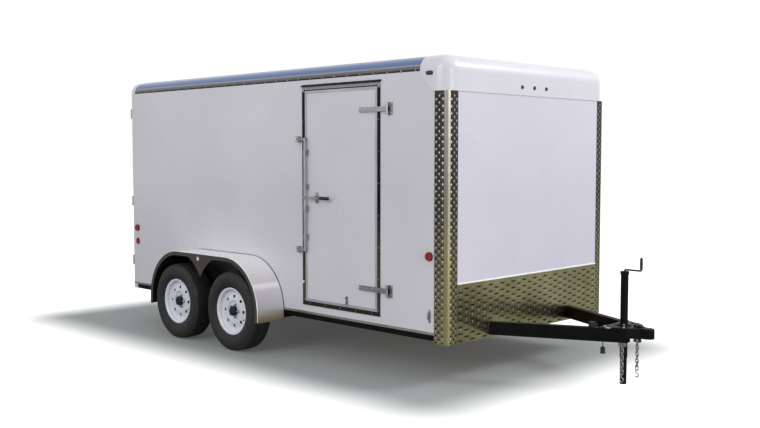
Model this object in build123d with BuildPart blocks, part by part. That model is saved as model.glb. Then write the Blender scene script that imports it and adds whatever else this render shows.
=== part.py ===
from build123d import *
from math import atan2, cos, hypot, pi, sin, sqrt
import os

# Enclosed cargo trailer, 7 ft by 14 ft, with two axles, a side door and double rear doors.
# Millimetres. +X points forward to the coupler, +Y to the trailer's left, +Z up from the ground.
# The origin is under the middle of the whole trailer, on the ground.

# Box
body_length = 4267.0
body_width = 2134.0
wall = 38.0
skirt = 6.0
skirt_bottom = 383.0
cove_radius = 112.0
wall_top = 2345.0
floor_thick = 19.0
trim_height = 20.0

# Frame
rail_bottom = 338.0
rail_height = 102.0
rail_width = 51.0
rail_setback = 28.0
tube_wall = 3.2
joist_height = 76.0
joist_width = 41.0
joist_web = 5.0
joist_pitch = 610.0
rear_frame_depth = 60.0
rear_post_width = 60.0
rear_header = 127.0

# Tongue, measured ahead of the box's front face
tongue_reach = 1087.0
tongue_half_gap = 535.0
tongue_slope = 0.475
tongue_end = 930.0
tongue_width = 51.0

# Front panels, measured back from the front face
post_side = 122.0
post_front = 117.0
post_radius = 62.0
post_proud = 3.0
post_bottom = 319.0
guard_top = 761.0
cap_drop = 152.0
cap_length = 265.0
cap_proud = 6.0
cap_corner_radius = 130.0
cap_edge_mid = 196.0
cap_edge_rise = 51.0
cap_edge_low = 143.0

# Side door, measured back from the front face
door_frame_front = 679.0
door_frame_width = 913.0
door_frame_bottom = 458.0
door_head = 57.0
door_frame_face = 25.0
door_frame_proud = 6.0
door_gap = 8.0
door_trim_face = 22.0
door_trim_proud = 4.0
side_pin_ahead = 92.0
side_strap_length = 317.0
side_hinge_inset = 210.0
side_bar_inset = 57.0
side_bar_rise = 457.0
side_bar_length = 950.0
side_handle_up = 452.0
side_handle_length = 300.0
side_keeper_beyond = 36.0

# Rear doors
rear_gap = 8.0
rear_middle_gap = 10.0
rear_pin_inset = 10.0
rear_strap_length = 290.0
rear_hinge_drop = 185.0
rear_hinge_mid = 1245.0
rear_hinge_low = 630.0
rear_bar_y = 130.0
rear_handle_z = 1160.0
rear_handle_length = 300.0
rear_bar_over = 50.0
rear_cam = 26.0

# Hinges and bar locks, measured out from the panel that carries them
hinge_leaf = 40.0
hinge_height = 96.0
hinge_plate = 4.0
knuckle_radius = 9.0
pin_radius = 4.5
pin_out = 24.0
strap_height = 38.0
strap_thick = 5.0
strap_low = 11.5
running_gap = 0.3
bar_radius = 10.0
bar_out = 32.0
cam_height = 22.0
keeper_clear = 6.0
keeper_ear = 6.0
keeper_out = 40.0
grip_out = 46.0
grip_thick = 10.0
grip_half_height = 7.0
grip_boss = 12.0
guide_from_end = 120.0
guide_from_handle = 90.0
keeper_half = 16.0

# Wheels and axles
tyre_radius = 351.0
tyre_half_width = 107.5
tyre_bulge = 76.0
tread_inset = 26.0
shoulder_inset = 14.0
shoulder_drop = 24.0
tread_crown = 6.0
bead_radius = 192.0
bead_inset = 25.5
flange_height = 16.0
flange_thick = 3.5
wheel_out = 186.0
axle_back = (2250.0, 3083.0)
disc_out = 42.0
disc_thick = 5.0
ridge_rise = 10.0
ridge_inner = 92.0
ridge_outer = 105.0
disc_drop = 30.0
window_radius = 15.0
window_count = 8
cap_radius = 42.0
cap_rise = 40.0
cap_chamfer = 12.0
hub_flange = 76.0
hub_core = 45.0
arm_length = 152.0
arm_rise = 58.0
arm_radius = 32.0
arm_thick = 35.0
axle_tube = 64.0
spindle_radius = 22.0
spindle_boss = 8.0
axle_bracket = 150.0
drum_radius = 128.0
drum_wall = 8.0
plate_in = 80.0
plate_thick = 5.0

# Fenders
fender_half_length = 820.0
fender_bottom = 294.0
fender_top = 825.0
fender_radius = 450.0
fender_reach = 300.0
fender_sheet = 3.0
fender_lip = 35.0
fender_web_bottom = 620.0

# Jack
jack_x = 840.0
jack_radius = 28.5
jack_bore = 25.8
jack_leg_radius = 25.0
jack_top = 830.0
jack_bottom = 200.0
jack_leg_top = 600.0
jack_flange_radius = 54.0
jack_head = 24.0
jack_head_rim = 4.0
leg_wall = 4.0
foot_thick = 6.0
crank_radius = 6.5
crank_lift = 12.0
crank_reach = 136.0
crank_rise = 100.0

# Coupler for a ball of 2 5/16 in
ball_socket_radius = 29.6
socket_back = 46.0
socket_depth = 30.0
coupler_plate = 6.0
coupler_height = 76.0
coupler_back = 745.0
coupler_margin = 28.0
nose_half = 45.0
nose_straight = 40.0
nose_round = 14.0
latch_length = 82.0
latch_rise = 18.0
latch_width = 24.0

# Chains and lead, measured ahead of the front face
chain_ahead = 892.0
chain_links = 10
link_wire = 8.0
link_length = 46.0
link_width = 28.0
tab_drop = 32.0
lead_ahead = 765.0
lead_radius = 3.25
lead_length = 40.0
plug_radius = 19.0
plug_length = 52.0
plug_round = 8.0

# Lamps
lamp_radius = 31.0
lamp_proud = 18.0
side_lamp_z = 970.0
front_lamp_inset = 170.0
rear_lamp_inset = 80.0
reflector_z = 832.0
reflector_proud = 6.0
cap_lamp_radius = 12.0
cap_lamp_drop = 88.0
cap_lamp_pitch = 165.0
cap_lamp_proud = 8.0
cap_side_drop = 19.0
clearance_length = 60.0
clearance_height = 24.0
tail_lamp_inset = 137.0
tail_lamp_length = 165.0
tail_lamp_height = 60.0
tail_lamp_proud = 20.0
header_lamp_radius = 20.0

half = body_width / 2
rear_proud = grip_out + grip_thick / 2
nose_x = (body_length + rear_proud - tongue_reach) / 2
rear_x = nose_x - body_length
deck = rail_bottom + rail_height
floor_top = deck + floor_thick
roof_top = wall_top + cove_radius
inner_half = half - wall
rail_inner = half - skirt - rail_width
frame_front = nose_x - skirt
frame_rear = rear_x + rear_frame_depth
rail_front = frame_front - rail_setback
axle_z = tyre_radius
cap_bottom = wall_top - cap_drop
rear_header_bottom = roof_top - rear_header
door_frame_height = wall_top - door_head - door_frame_bottom
door_frame_top = door_frame_bottom + door_frame_height
side_pin_back = door_frame_front - side_pin_ahead
side_bar_back = door_frame_front + door_frame_width - side_bar_inset
side_keeper_back = door_frame_front + door_frame_width + side_keeper_beyond
wheel_y = half + wheel_out
fender_outer = half + fender_reach
rim_half_width = tyre_half_width - bead_inset
rim_flange_radius = bead_radius + flange_height
sides = ((1, "left"), (-1, "right"))

os.makedirs("parts", exist_ok=True)


def keep(piece, label):
    """Name a finished piece and write it."""
    piece.part.label = label
    export_step(piece.part, f"parts/{label}.step")


def across(y):
    """Upright plane facing the right side at this y; its X is forward and its Y is up."""
    return Plane(origin=(0, y, 0), x_dir=(1, 0, 0), z_dir=(0, -1, 0))


def along(x):
    """Upright plane facing forward at this x; its X is the trailer's left and its Y is up."""
    return Plane(origin=(x, 0, 0), x_dir=(0, 1, 0), z_dir=(1, 0, 0))


def box(x_low, x_high, y_low, y_high, z_low, z_high, mode=Mode.ADD):
    """Block between two corners, in the part that is being built."""
    middle = ((x_low + x_high) / 2, (y_low + y_high) / 2, (z_low + z_high) / 2)
    with Locations(middle):
        Box(x_high - x_low, y_high - y_low, z_high - z_low, mode=mode)


# Frame rails: box tubes along both sides of the floor.
rail_mid_z = rail_bottom + rail_height / 2
for side, word in sides:
    with BuildPart() as frame_rail:
        with BuildSketch(along(frame_rear)):
            with Locations((side * (rail_inner + rail_width / 2), rail_mid_z)):
                Rectangle(rail_width, rail_height)
                Rectangle(rail_width - 2 * tube_wall, rail_height - 2 * tube_wall, mode=Mode.SUBTRACT)
        extrude(amount=rail_front - frame_rear)
    keep(frame_rail, f"frame_rail_{word}")

# Tongue: two tubes that run from the side rails, out under the front and in to the coupler.
tongue_angle = atan2(tongue_slope, 1)


def tongue_plan(side, width, end, reach_y):
    """Plan outline of one tongue tube between a rail's inner face and a cut across its front."""
    spread = width / 2 / cos(tongue_angle)
    corners = []
    for shift in (spread, -spread):
        back = (tongue_half_gap + shift - reach_y) / tongue_slope
        front_y = tongue_half_gap + shift - tongue_slope * end
        corners.append((nose_x + back, side * reach_y))
        corners.append((nose_x + end, side * front_y))
    outer_back, outer_front, inner_back, inner_front = corners
    return outer_back, outer_front, inner_front, inner_back


for side, word in sides:
    with BuildPart() as tongue:
        with BuildSketch(Plane.XY.offset(rail_bottom)):
            with BuildLine():
                Polyline(*tongue_plan(side, tongue_width, tongue_end, rail_inner), close=True)
            make_face()
        extrude(amount=rail_height)
        with BuildSketch(Plane.XY.offset(rail_bottom + tube_wall)):
            with BuildLine():
                bore_width = tongue_width - 2 * tube_wall
                bore_end = tongue_end + tongue_width
                bore_plan = tongue_plan(side, bore_width, bore_end, rail_inner + tongue_width)
                Polyline(*bore_plan, close=True)
            make_face()
        extrude(amount=rail_height - 2 * tube_wall, mode=Mode.SUBTRACT)
    keep(tongue, f"tongue_{word}")


def cut_tongue(room):
    """Take both tongue tubes, with some room round them, out of the part being built."""
    for side, word in sides:
        with BuildSketch(Plane.XY.offset(rail_bottom - room)) as plan:
            with BuildLine():
                cut_plan = tongue_plan(side, tongue_width + 2 * room, tongue_end, rail_inner)
                Polyline(*cut_plan, close=True)
            make_face()
        extrude(plan.sketch, amount=rail_height + 2 * room, mode=Mode.SUBTRACT)


# Crossmembers: a front header tube and channel joists that carry the floor.
joist_count = int((frame_front - frame_rear) / joist_pitch)
with BuildPart() as crossmembers:
    box(frame_front - rail_width, frame_front, -rail_inner, rail_inner, rail_bottom, deck)
    with BuildSketch(across(rail_inner)):
        for step in range(joist_count + 1):
            centre_x = frame_rear + joist_width / 2 + step * joist_pitch
            with Locations((centre_x, deck - joist_height / 2)):
                Rectangle(joist_width, joist_height)
            with Locations((centre_x + joist_web, deck - joist_height / 2)):
                Rectangle(joist_width, joist_height - 2 * joist_web, mode=Mode.SUBTRACT)
    extrude(amount=2 * rail_inner)
    cut_tongue(0)
keep(crossmembers, "crossmembers")

# Floor: plywood between the walls.
with BuildPart() as floor:
    box(frame_rear, nose_x - wall, -inner_half, inner_half, deck, floor_top)
keep(floor, "floor")


def cap_outline():
    """Side outline of the nose cap's region, from its curved rear edge forward."""
    low = (nose_x - cap_edge_low, cap_bottom)
    middle = (nose_x - cap_edge_mid, cap_bottom + cap_edge_rise)
    high = (nose_x - cap_length, wall_top)
    ThreePointArc(low, middle, high)
    Polyline(high, (nose_x - cap_length, roof_top + wall), (nose_x + wall, roof_top + wall))
    Polyline((nose_x + wall, roof_top + wall), (nose_x + wall, cap_bottom), low)


door_hole_back = door_frame_front + door_frame_face
door_hole_width = door_frame_width - 2 * door_frame_face
door_mid_x = nose_x - door_frame_front - door_frame_width / 2
door_mid_z = door_frame_bottom + door_frame_height / 2

# Side walls: skin, posts and lining as one panel, whose skin laps down over the frame rail.
for side, word in sides:
    with BuildPart() as side_wall:
        with BuildSketch(along(frame_rear)):
            with BuildLine():
                Polyline(
                    (side * half, skirt_bottom),
                    (side * half, wall_top),
                    (side * inner_half, wall_top),
                    (side * inner_half, deck),
                    (side * (half - skirt), deck),
                    (side * (half - skirt), skirt_bottom),
                    close=True,
                )
            make_face()
        extrude(amount=nose_x - post_side - frame_rear)
        with BuildSketch(across(half + wall)):
            with BuildLine():
                cap_outline()
            make_face()
        extrude(amount=body_width + 2 * wall, mode=Mode.SUBTRACT)
        if word == "right":
            with BuildSketch(across(-inner_half + skirt)):
                with Locations((door_mid_x, door_mid_z)):
                    Rectangle(door_frame_width, door_frame_height)
            extrude(amount=wall + 2 * skirt, mode=Mode.SUBTRACT)
    keep(side_wall, f"side_wall_{word}")

# Front wall: the white panel between the corner posts.
front_half = half - post_front
with BuildPart() as front_wall:
    box(nose_x - wall, nose_x, -front_half, front_half, deck, cap_bottom)
keep(front_wall, "front_wall")

# Roof: one sheet over bows, between the coves.
with BuildPart() as roof:
    roof_half = half - cove_radius
    box(frame_rear, nose_x - cap_length, -roof_half, roof_half, roof_top - wall, roof_top)
keep(roof, "roof")

# Roof coves: rolled aluminium edges that turn the walls into the roof.
with BuildPart() as roof_coves:
    for side, word in sides:
        with BuildSketch(along(frame_rear)) as cove:
            with Locations((side * (half - cove_radius), wall_top)):
                Circle(cove_radius)
                Circle(cove_radius - wall, mode=Mode.SUBTRACT)
            corner = (side * (half - cove_radius / 2), wall_top + cove_radius / 2)
            with Locations(corner):
                Rectangle(cove_radius, cove_radius, mode=Mode.INTERSECT)
        extrude(amount=nose_x - cap_length - frame_rear)
keep(roof_coves, "roof_coves")

# Nose cap: a moulded shell with round corners over the top of the front.
cap_half = half + cap_proud
cap_front = nose_x + cap_proud
cap_top = roof_top + cap_proud


def cap_block(inset, base):
    """Rounded block of the cap's outside, or of its hollow when inset."""
    x_low = nose_x - cap_length - base
    y_high = cap_half - inset
    box(x_low, cap_front - inset, -y_high, y_high, cap_bottom - base, cap_top - inset)


with BuildPart(mode=Mode.PRIVATE) as cap_hollow:
    cap_block(wall + cap_proud, wall)
    fillet(cap_hollow.edges().filter_by(Axis.Z).group_by(Axis.X)[-1], cap_corner_radius - wall - cap_proud)
    top_edges = cap_hollow.faces().sort_by(Axis.Z)[-1].edges()
    top_edges = top_edges.filter_by(Axis.Y, reverse=True) + top_edges.filter_by(Axis.Y).sort_by(Axis.X)[-1:]
    fillet(top_edges, cove_radius - wall)

with BuildPart() as nose_cap:
    cap_block(0, 0)
    fillet(nose_cap.edges().filter_by(Axis.Z).group_by(Axis.X)[-1], cap_corner_radius)
    top_edges = nose_cap.faces().sort_by(Axis.Z)[-1].edges()
    top_edges = top_edges.filter_by(Axis.Y, reverse=True) + top_edges.filter_by(Axis.Y).sort_by(Axis.X)[-1:]
    fillet(top_edges, cove_radius + cap_proud)
    add(cap_hollow.part, mode=Mode.SUBTRACT)
    with BuildSketch(across(cap_half + wall)):
        with BuildLine():
            cap_outline()
        make_face()
    extrude(amount=2 * (cap_half + wall), mode=Mode.INTERSECT)
keep(nose_cap, "nose_cap")

# Corner posts: tread plate strips each side of a smooth round corner.
with BuildPart() as corner_posts:
    for side, word in sides:
        outer_x = nose_x + post_proud
        outer_y = half + post_proud
        with BuildSketch(Plane.XY.offset(post_bottom)) as post_plan:
            with BuildLine():
                Polyline(
                    (nose_x - post_side, side * inner_half),
                    (nose_x - post_side, side * outer_y),
                    (outer_x - post_radius, side * outer_y),
                )
                bend = post_radius * (1 - sin(pi / 4))
                ThreePointArc(
                    (outer_x - post_radius, side * outer_y),
                    (outer_x - bend, side * (outer_y - bend)),
                    (outer_x, side * (outer_y - post_radius)),
                )
                Polyline(
                    (outer_x, side * (outer_y - post_radius)),
                    (outer_x, side * front_half),
                    (nose_x - wall, side * front_half),
                    (nose_x - wall, side * inner_half),
                    (nose_x - post_side, side * inner_half),
                )
            make_face()
        extrude(amount=cap_bottom - post_bottom)
    for room_front, room_half in ((rail_front, half - skirt), (frame_front, rail_inner)):
        room_back = nose_x - post_side - wall
        box(room_back, room_front, -room_half, room_half, post_bottom - wall, deck, Mode.SUBTRACT)
keep(corner_posts, "corner_posts")

# Stone guard: tread plate across the lower front, notched round the tongue.
with BuildPart() as stone_guard:
    with BuildSketch(across(front_half)):
        with BuildLine():
            Polyline(
                (frame_front, post_bottom),
                (nose_x + post_proud, post_bottom),
                (nose_x + post_proud, guard_top),
                (nose_x, guard_top),
                (nose_x, deck),
                (frame_front, deck),
                close=True,
            )
        make_face()
    extrude(amount=2 * front_half)
    cut_tongue(running_gap)
keep(stone_guard, "stone_guard")

# Rear frame: a steel portal with round top corners, and the sill under the doors.
rear_opening_half = half - rear_post_width
with BuildPart() as rear_frame:
    with BuildSketch(along(rear_x)) as portal:
        with Locations((0, (rail_bottom + roof_top) / 2)):
            Rectangle(body_width, roof_top - rail_bottom)
        fillet(portal.vertices().group_by(Axis.Y)[-1], cove_radius)
        with Locations((0, (floor_top + rear_header_bottom) / 2)):
            Rectangle(2 * rear_opening_half, rear_header_bottom - floor_top, mode=Mode.SUBTRACT)
    extrude(amount=rear_frame_depth)
keep(rear_frame, "rear_frame")

# Bottom trims: bright strips along the foot of the skin, ahead of and behind the fenders.
fender_mid_x = nose_x - sum(axle_back) / 2
fender_front_x = fender_mid_x + fender_half_length
fender_rear_x = fender_mid_x - fender_half_length
with BuildPart() as bottom_trims:
    for side, word in sides:
        low_y, high_y = sorted((side * half, side * (half + post_proud)))
        for x_low, x_high in ((fender_front_x, nose_x - post_side), (rear_x, fender_rear_x)):
            box(x_low, x_high, low_y, high_y, skirt_bottom, skirt_bottom + trim_height)
keep(bottom_trims, "bottom_trims")

# Side door frame: an aluminium frame through the wall, proud of its skin.
with BuildPart() as side_door_frame:
    with BuildSketch(across(-inner_half)):
        with Locations((door_mid_x, door_mid_z)):
            Rectangle(door_frame_width, door_frame_height)
            Rectangle(
                door_hole_width, door_frame_height - 2 * door_frame_face, mode=Mode.SUBTRACT
            )
    extrude(amount=wall + door_frame_proud)
keep(side_door_frame, "side_door_frame")

# Side door: panel and bright edge trim.
door_leaf_width = door_hole_width - 2 * door_gap
door_leaf_height = door_frame_height - 2 * door_frame_face - 2 * door_gap
with BuildPart() as side_door_panel:
    with BuildSketch(across(-inner_half)):
        with Locations((door_mid_x, door_mid_z)):
            Rectangle(door_leaf_width, door_leaf_height)
    extrude(amount=wall)
keep(side_door_panel, "side_door_panel")

with BuildPart() as side_door_trim:
    with BuildSketch(across(-half)):
        with Locations((door_mid_x, door_mid_z)):
            Rectangle(door_leaf_width, door_leaf_height)
            Rectangle(
                door_leaf_width - 2 * door_trim_face,
                door_leaf_height - 2 * door_trim_face,
                mode=Mode.SUBTRACT,
            )
    extrude(amount=door_trim_proud)
keep(side_door_trim, "side_door_trim")

# Rear doors: two leaves set in the rear frame.
rear_leaf_width = rear_opening_half - rear_gap - rear_middle_gap / 2
rear_leaf_low = floor_top + rear_gap
rear_leaf_high = rear_header_bottom - rear_gap
for side, word in sides:
    with BuildPart() as rear_door_panel:
        with BuildSketch(along(rear_x)):
            leaf_y = side * (rear_middle_gap / 2 + rear_leaf_width / 2)
            with Locations((leaf_y, (rear_leaf_low + rear_leaf_high) / 2)):
                Rectangle(rear_leaf_width, rear_leaf_high - rear_leaf_low)
        extrude(amount=wall)
    keep(rear_door_panel, f"rear_door_{word}_panel")
    with BuildPart() as rear_door_trim:
        with BuildSketch(along(rear_x - door_trim_proud)):
            with Locations((leaf_y, (rear_leaf_low + rear_leaf_high) / 2)):
                Rectangle(rear_leaf_width, rear_leaf_high - rear_leaf_low)
                Rectangle(
                    rear_leaf_width - 2 * door_trim_face,
                    rear_leaf_high - rear_leaf_low - 2 * door_trim_face,
                    mode=Mode.SUBTRACT,
                )
        extrude(amount=door_trim_proud)
    keep(rear_door_trim, f"rear_door_{word}_trim")


def face_place(x, y, z, forward):
    """Upright plane on a panel's face, whose Z points out: the right side's, or else the rear's."""
    lead, out = ((1, 0, 0), (0, -1, 0)) if forward else ((0, -1, 0), (-1, 0, 0))
    return Plane(origin=(x, y, z), x_dir=lead, z_dir=out)


def local_box(place, low, high, lead=1, mode=Mode.ADD):
    """Block between two corners in a plane's own axes, with X mirrored where lead is -1."""
    corners = [sorted((low[0] * lead, high[0] * lead)), (low[1], high[1]), (low[2], high[2])]
    size = [pair[1] - pair[0] for pair in corners]
    middle = [(pair[1] + pair[0]) / 2 for pair in corners]
    block = Box(*size, mode=Mode.PRIVATE)
    add(place.location * (Pos(*middle) * block), mode=mode)


def local_rod(place, centre, radius, length, mode=Mode.ADD):
    """Upright rod centred at a point in a plane's own axes."""
    rod = Cylinder(radius, length, mode=Mode.PRIVATE)
    add(place.location * (Pos(*centre) * (Rot(90, 0, 0) * rod)), mode=mode)


def fixed_leaf(place, leaf, lead):
    """Hinge leaf on the body: plate, two knuckles with their webs, and the pin."""
    knuckle = (hinge_height - strap_height) / 2 - 1
    local_box(place, (-knuckle_radius, -hinge_height / 2, 0), (leaf, hinge_height / 2, hinge_plate), lead)
    for end in (1, -1):
        middle = end * (hinge_height - knuckle) / 2
        local_rod(place, (0, middle, pin_out), knuckle_radius, knuckle)
        low = (-knuckle_radius, middle - knuckle / 2, 0)
        local_box(place, low, (knuckle_radius, middle + knuckle / 2, pin_out), lead)
    local_rod(place, (0, 0, pin_out), pin_radius, hinge_height)


def strap(place, length, start, lead):
    """Hinge leaf on the door: strap, its pad on the door's face, and the bored knuckle."""
    high = strap_low + strap_thick
    local_box(place, (-length, -strap_height / 2, strap_low), (0, strap_height / 2, high), lead)
    local_box(place, (-length, -strap_height / 2, 0), (-start, strap_height / 2, strap_low), lead)
    local_rod(place, (0, 0, pin_out), knuckle_radius, strap_height)
    local_rod(place, (0, 0, pin_out), pin_radius + running_gap, strap_height, Mode.SUBTRACT)


side_hinge_heights = (door_frame_top - side_hinge_inset, door_frame_bottom + side_hinge_inset)
side_hinges = [face_place(nose_x - side_pin_back, -half, z, True) for z in side_hinge_heights]
rear_hinge_heights = (rear_header_bottom - rear_hinge_drop, rear_hinge_mid, rear_hinge_low)
rear_pin_y = half - rear_pin_inset
rear_hinges = {
    word: [face_place(rear_x, side * rear_pin_y, z, False) for z in rear_hinge_heights]
    for side, word in sides
}

with BuildPart() as side_hinge_leaves:
    for place in side_hinges:
        fixed_leaf(place, hinge_leaf, 1)
keep(side_hinge_leaves, "side_hinge_leaves")

with BuildPart() as side_door_straps:
    for place in side_hinges:
        pad_start = door_hole_back + door_gap + door_trim_face - side_pin_back
        strap(place, side_strap_length, pad_start, 1)
keep(side_door_straps, "side_door_straps")

with BuildPart() as rear_hinge_leaves:
    for side, word in sides:
        for place in rear_hinges[word]:
            fixed_leaf(place, rear_pin_inset, -side)
keep(rear_hinge_leaves, "rear_hinge_leaves")

for side, word in sides:
    with BuildPart() as rear_straps:
        for place in rear_hinges[word]:
            pad_start = rear_pin_y - rear_opening_half + rear_gap + door_trim_face
            strap(place, rear_strap_length, pad_start, -side)
    keep(rear_straps, f"rear_door_{word}_straps")


def bar_lock(place, low, high, cam_to, handle_up, handle_to, guides, guide_base, lead):
    """Upright lock bar on a door's face: bar, cams at both ends, guides, and the handle."""
    local_rod(place, (0, (low + high) / 2, bar_out), bar_radius, high - low)
    for height in (low + cam_height / 2, high - cam_height / 2):
        low_corner = (0, height - cam_height / 2, bar_out - bar_radius)
        local_box(place, low_corner, (cam_to, height + cam_height / 2, bar_out + bar_radius), lead)
    for height in guides:
        low_corner = (-2 * bar_radius, height - cam_height, guide_base)
        local_box(place, low_corner, (2 * bar_radius, height + cam_height, bar_out), lead)
    grip_low = grip_out - grip_thick / 2
    grip_high = grip_out + grip_thick / 2
    grip_start = (0, handle_up - grip_half_height, grip_low)
    local_box(place, grip_start, (handle_to, handle_up + grip_half_height, grip_high), lead)
    low_corner = (-bar_radius, handle_up - grip_boss, bar_out)
    local_box(place, low_corner, (bar_radius, handle_up + grip_boss, grip_high), lead)


side_lock = face_place(nose_x - side_bar_back, -half, 0, True)
side_bar_low = door_frame_bottom + side_bar_rise
side_bar_high = side_bar_low + side_bar_length
side_handle_z = side_bar_low + side_handle_up
side_guides = (
    side_bar_low + guide_from_end,
    side_handle_z - guide_from_handle,
    side_handle_z + guide_from_handle,
    side_bar_high - guide_from_end,
)
with BuildPart() as side_door_lock:
    bar_lock(
        side_lock,
        side_bar_low,
        side_bar_high,
        side_bar_back - side_keeper_back,
        side_handle_z,
        side_handle_length,
        side_guides,
        door_trim_proud,
        1,
    )
keep(side_door_lock, "side_door_lock")

rear_bar_low = floor_top - rear_bar_over
rear_bar_high = rear_header_bottom + rear_bar_over
rear_guides = (
    floor_top + guide_from_end,
    rear_handle_z - guide_from_handle,
    rear_handle_z + guide_from_handle,
    rear_header_bottom - guide_from_end,
)
for side, word in sides:
    with BuildPart() as rear_lock:
        bar_lock(
            face_place(rear_x, side * rear_bar_y, 0, False),
            rear_bar_low,
            rear_bar_high,
            rear_cam,
            rear_handle_z,
            rear_handle_length,
            rear_guides,
            0,
            -side,
        )
    keep(rear_lock, f"rear_door_{word}_lock")

# Keepers: open-fronted ears above and below each side cam, and beside each rear cam.
with BuildPart() as keepers:
    for height in (side_bar_low + cam_height / 2, side_bar_high - cam_height / 2):
        place = face_place(nose_x - side_keeper_back, -half, height, True)
        reach = cam_height / 2 + keeper_clear
        plate_reach = reach + keeper_ear
        local_box(place, (-keeper_half, -plate_reach, 0), (keeper_half, plate_reach, hinge_plate))
        for low, high in ((-plate_reach, -reach), (reach, plate_reach)):
            local_box(place, (-keeper_half, low, 0), (keeper_half, high, keeper_out))
    for side, word in sides:
        for height in (rear_bar_low + cam_height / 2, rear_bar_high - cam_height / 2):
            place = face_place(rear_x, side * rear_bar_y, height, False)
            low_x = -bar_radius - keeper_clear
            high_x = rear_cam + keeper_clear
            base = (low_x - keeper_ear, -keeper_half, 0)
            local_box(place, base, (high_x + keeper_ear, keeper_half, hinge_plate), -side)
            local_box(place, base, (low_x, keeper_half, keeper_out), -side)
            far_ear = (high_x + keeper_ear, keeper_half, keeper_out)
            local_box(place, (high_x, -keeper_half, 0), far_ear, -side)
keep(keepers, "keepers")

# Fenders: one bent sheet over both wheels, with a lip, filled in between the wheels.
half_pitch = (axle_back[1] - axle_back[0]) / 2
web_radius = hypot(half_pitch, fender_web_bottom - axle_z)
web_top = fender_top - fender_lip + 2 * fender_sheet
web_reach = half_pitch - sqrt(web_radius**2 - (web_top - axle_z) ** 2)


def on_web(side, angle_x):
    """Point on the arch over one wheel, a given distance from the fender's middle."""
    away = half_pitch - angle_x
    return (fender_mid_x + side * angle_x, axle_z + sqrt(web_radius**2 - away**2))


def fender_arch(inset, mode):
    """Side outline of a fender, or of the room under it, in the sketch that is being drawn."""
    with BuildSketch(mode=Mode.PRIVATE) as outline:
        with Locations((fender_mid_x, (fender_bottom + fender_top) / 2 - inset)):
            Rectangle(2 * (fender_half_length - inset), fender_top - fender_bottom)
        fillet(outline.vertices().group_by(Axis.Y)[-1], fender_radius - inset)
    add(outline.sketch, mode=mode)


for side, word in sides:
    inner_y, outer_y = half, fender_outer
    skirt_y = fender_outer - fender_sheet
    with BuildPart() as fender:
        top_y = outer_y if side > 0 else -inner_y
        with BuildSketch(across(top_y)):
            fender_arch(0, Mode.ADD)
            fender_arch(fender_sheet, Mode.SUBTRACT)
        extrude(amount=outer_y - inner_y)
        skirt_start = outer_y if side > 0 else -skirt_y
        with BuildSketch(across(skirt_start)):
            fender_arch(0, Mode.ADD)
            fender_arch(fender_lip, Mode.SUBTRACT)
            with BuildLine():
                top_right = on_web(1, web_reach)
                top_left = on_web(-1, web_reach)
                foot = on_web(1, 0)
                Line(top_left, top_right)
                ThreePointArc(top_right, on_web(1, web_reach / 2), foot)
                ThreePointArc(foot, on_web(-1, web_reach / 2), top_left)
            make_face()
        extrude(amount=fender_sheet)
    keep(fender, f"fender_{word}")


def wheel_plane(back, side):
    """Plane through one wheel's centre, whose X runs outwards along the axle and whose Y is up."""
    origin = (nose_x - back, side * wheel_y, axle_z)
    return Plane(origin=origin, x_dir=(0, side, 0), z_dir=(side, 0, 0))


def spin(place, outline):
    """Revolve a closed outline, drawn outwards and up in a wheel's own plane, round its axle."""
    with BuildSketch(place) as section:
        with BuildLine():
            Polyline(*outline, close=True)
        make_face()
    revolve(section.sketch, axis=Axis(place.origin, place.x_dir))


# Axles: cross tubes with trailing arms, spindles and brake plates.
plate_radius = drum_radius - drum_wall / 2
with BuildPart() as axles:
    for back in axle_back:
        hub_x = nose_x - back
        run = sqrt(arm_length**2 - arm_rise**2)
        tube_x, tube_z = hub_x + run, axle_z - arm_rise
        side_low = half + skirt
        box(
            tube_x - axle_tube / 2,
            tube_x + axle_tube / 2,
            -side_low,
            side_low,
            tube_z - axle_tube / 2,
            tube_z + axle_tube / 2,
        )
        for side, word in sides:
            bracket = sorted((side * rail_inner, side * (half - skirt)))
            bracket_low = tube_z + axle_tube / 2 - skirt
            box(tube_x - axle_bracket / 2, tube_x + axle_bracket / 2, *bracket, bracket_low, rail_bottom)
            arm_start = side_low + arm_thick if side > 0 else -side_low
            with BuildSketch(across(arm_start)) as arm:
                with Locations(((hub_x + tube_x) / 2, (axle_z + tube_z) / 2)):
                    slot_angle = atan2(tube_z - axle_z, tube_x - hub_x) * 180 / pi
                    SlotCenterToCenter(arm_length, 2 * arm_radius, rotation=slot_angle)
            extrude(amount=arm_thick)
            place = wheel_plane(back, side)
            start = side_low + arm_thick - wheel_y - running_gap
            boss = spindle_radius + spindle_boss
            spindle_end = disc_out + ridge_rise
            spin(
                place,
                (
                    (start, 0),
                    (start, boss),
                    (-plate_in - plate_thick, boss),
                    (-plate_in - plate_thick, plate_radius),
                    (-plate_in, plate_radius),
                    (-plate_in, spindle_radius),
                    (spindle_end, spindle_radius),
                    (spindle_end, 0),
                ),
            )
keep(axles, "axles")

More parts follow.
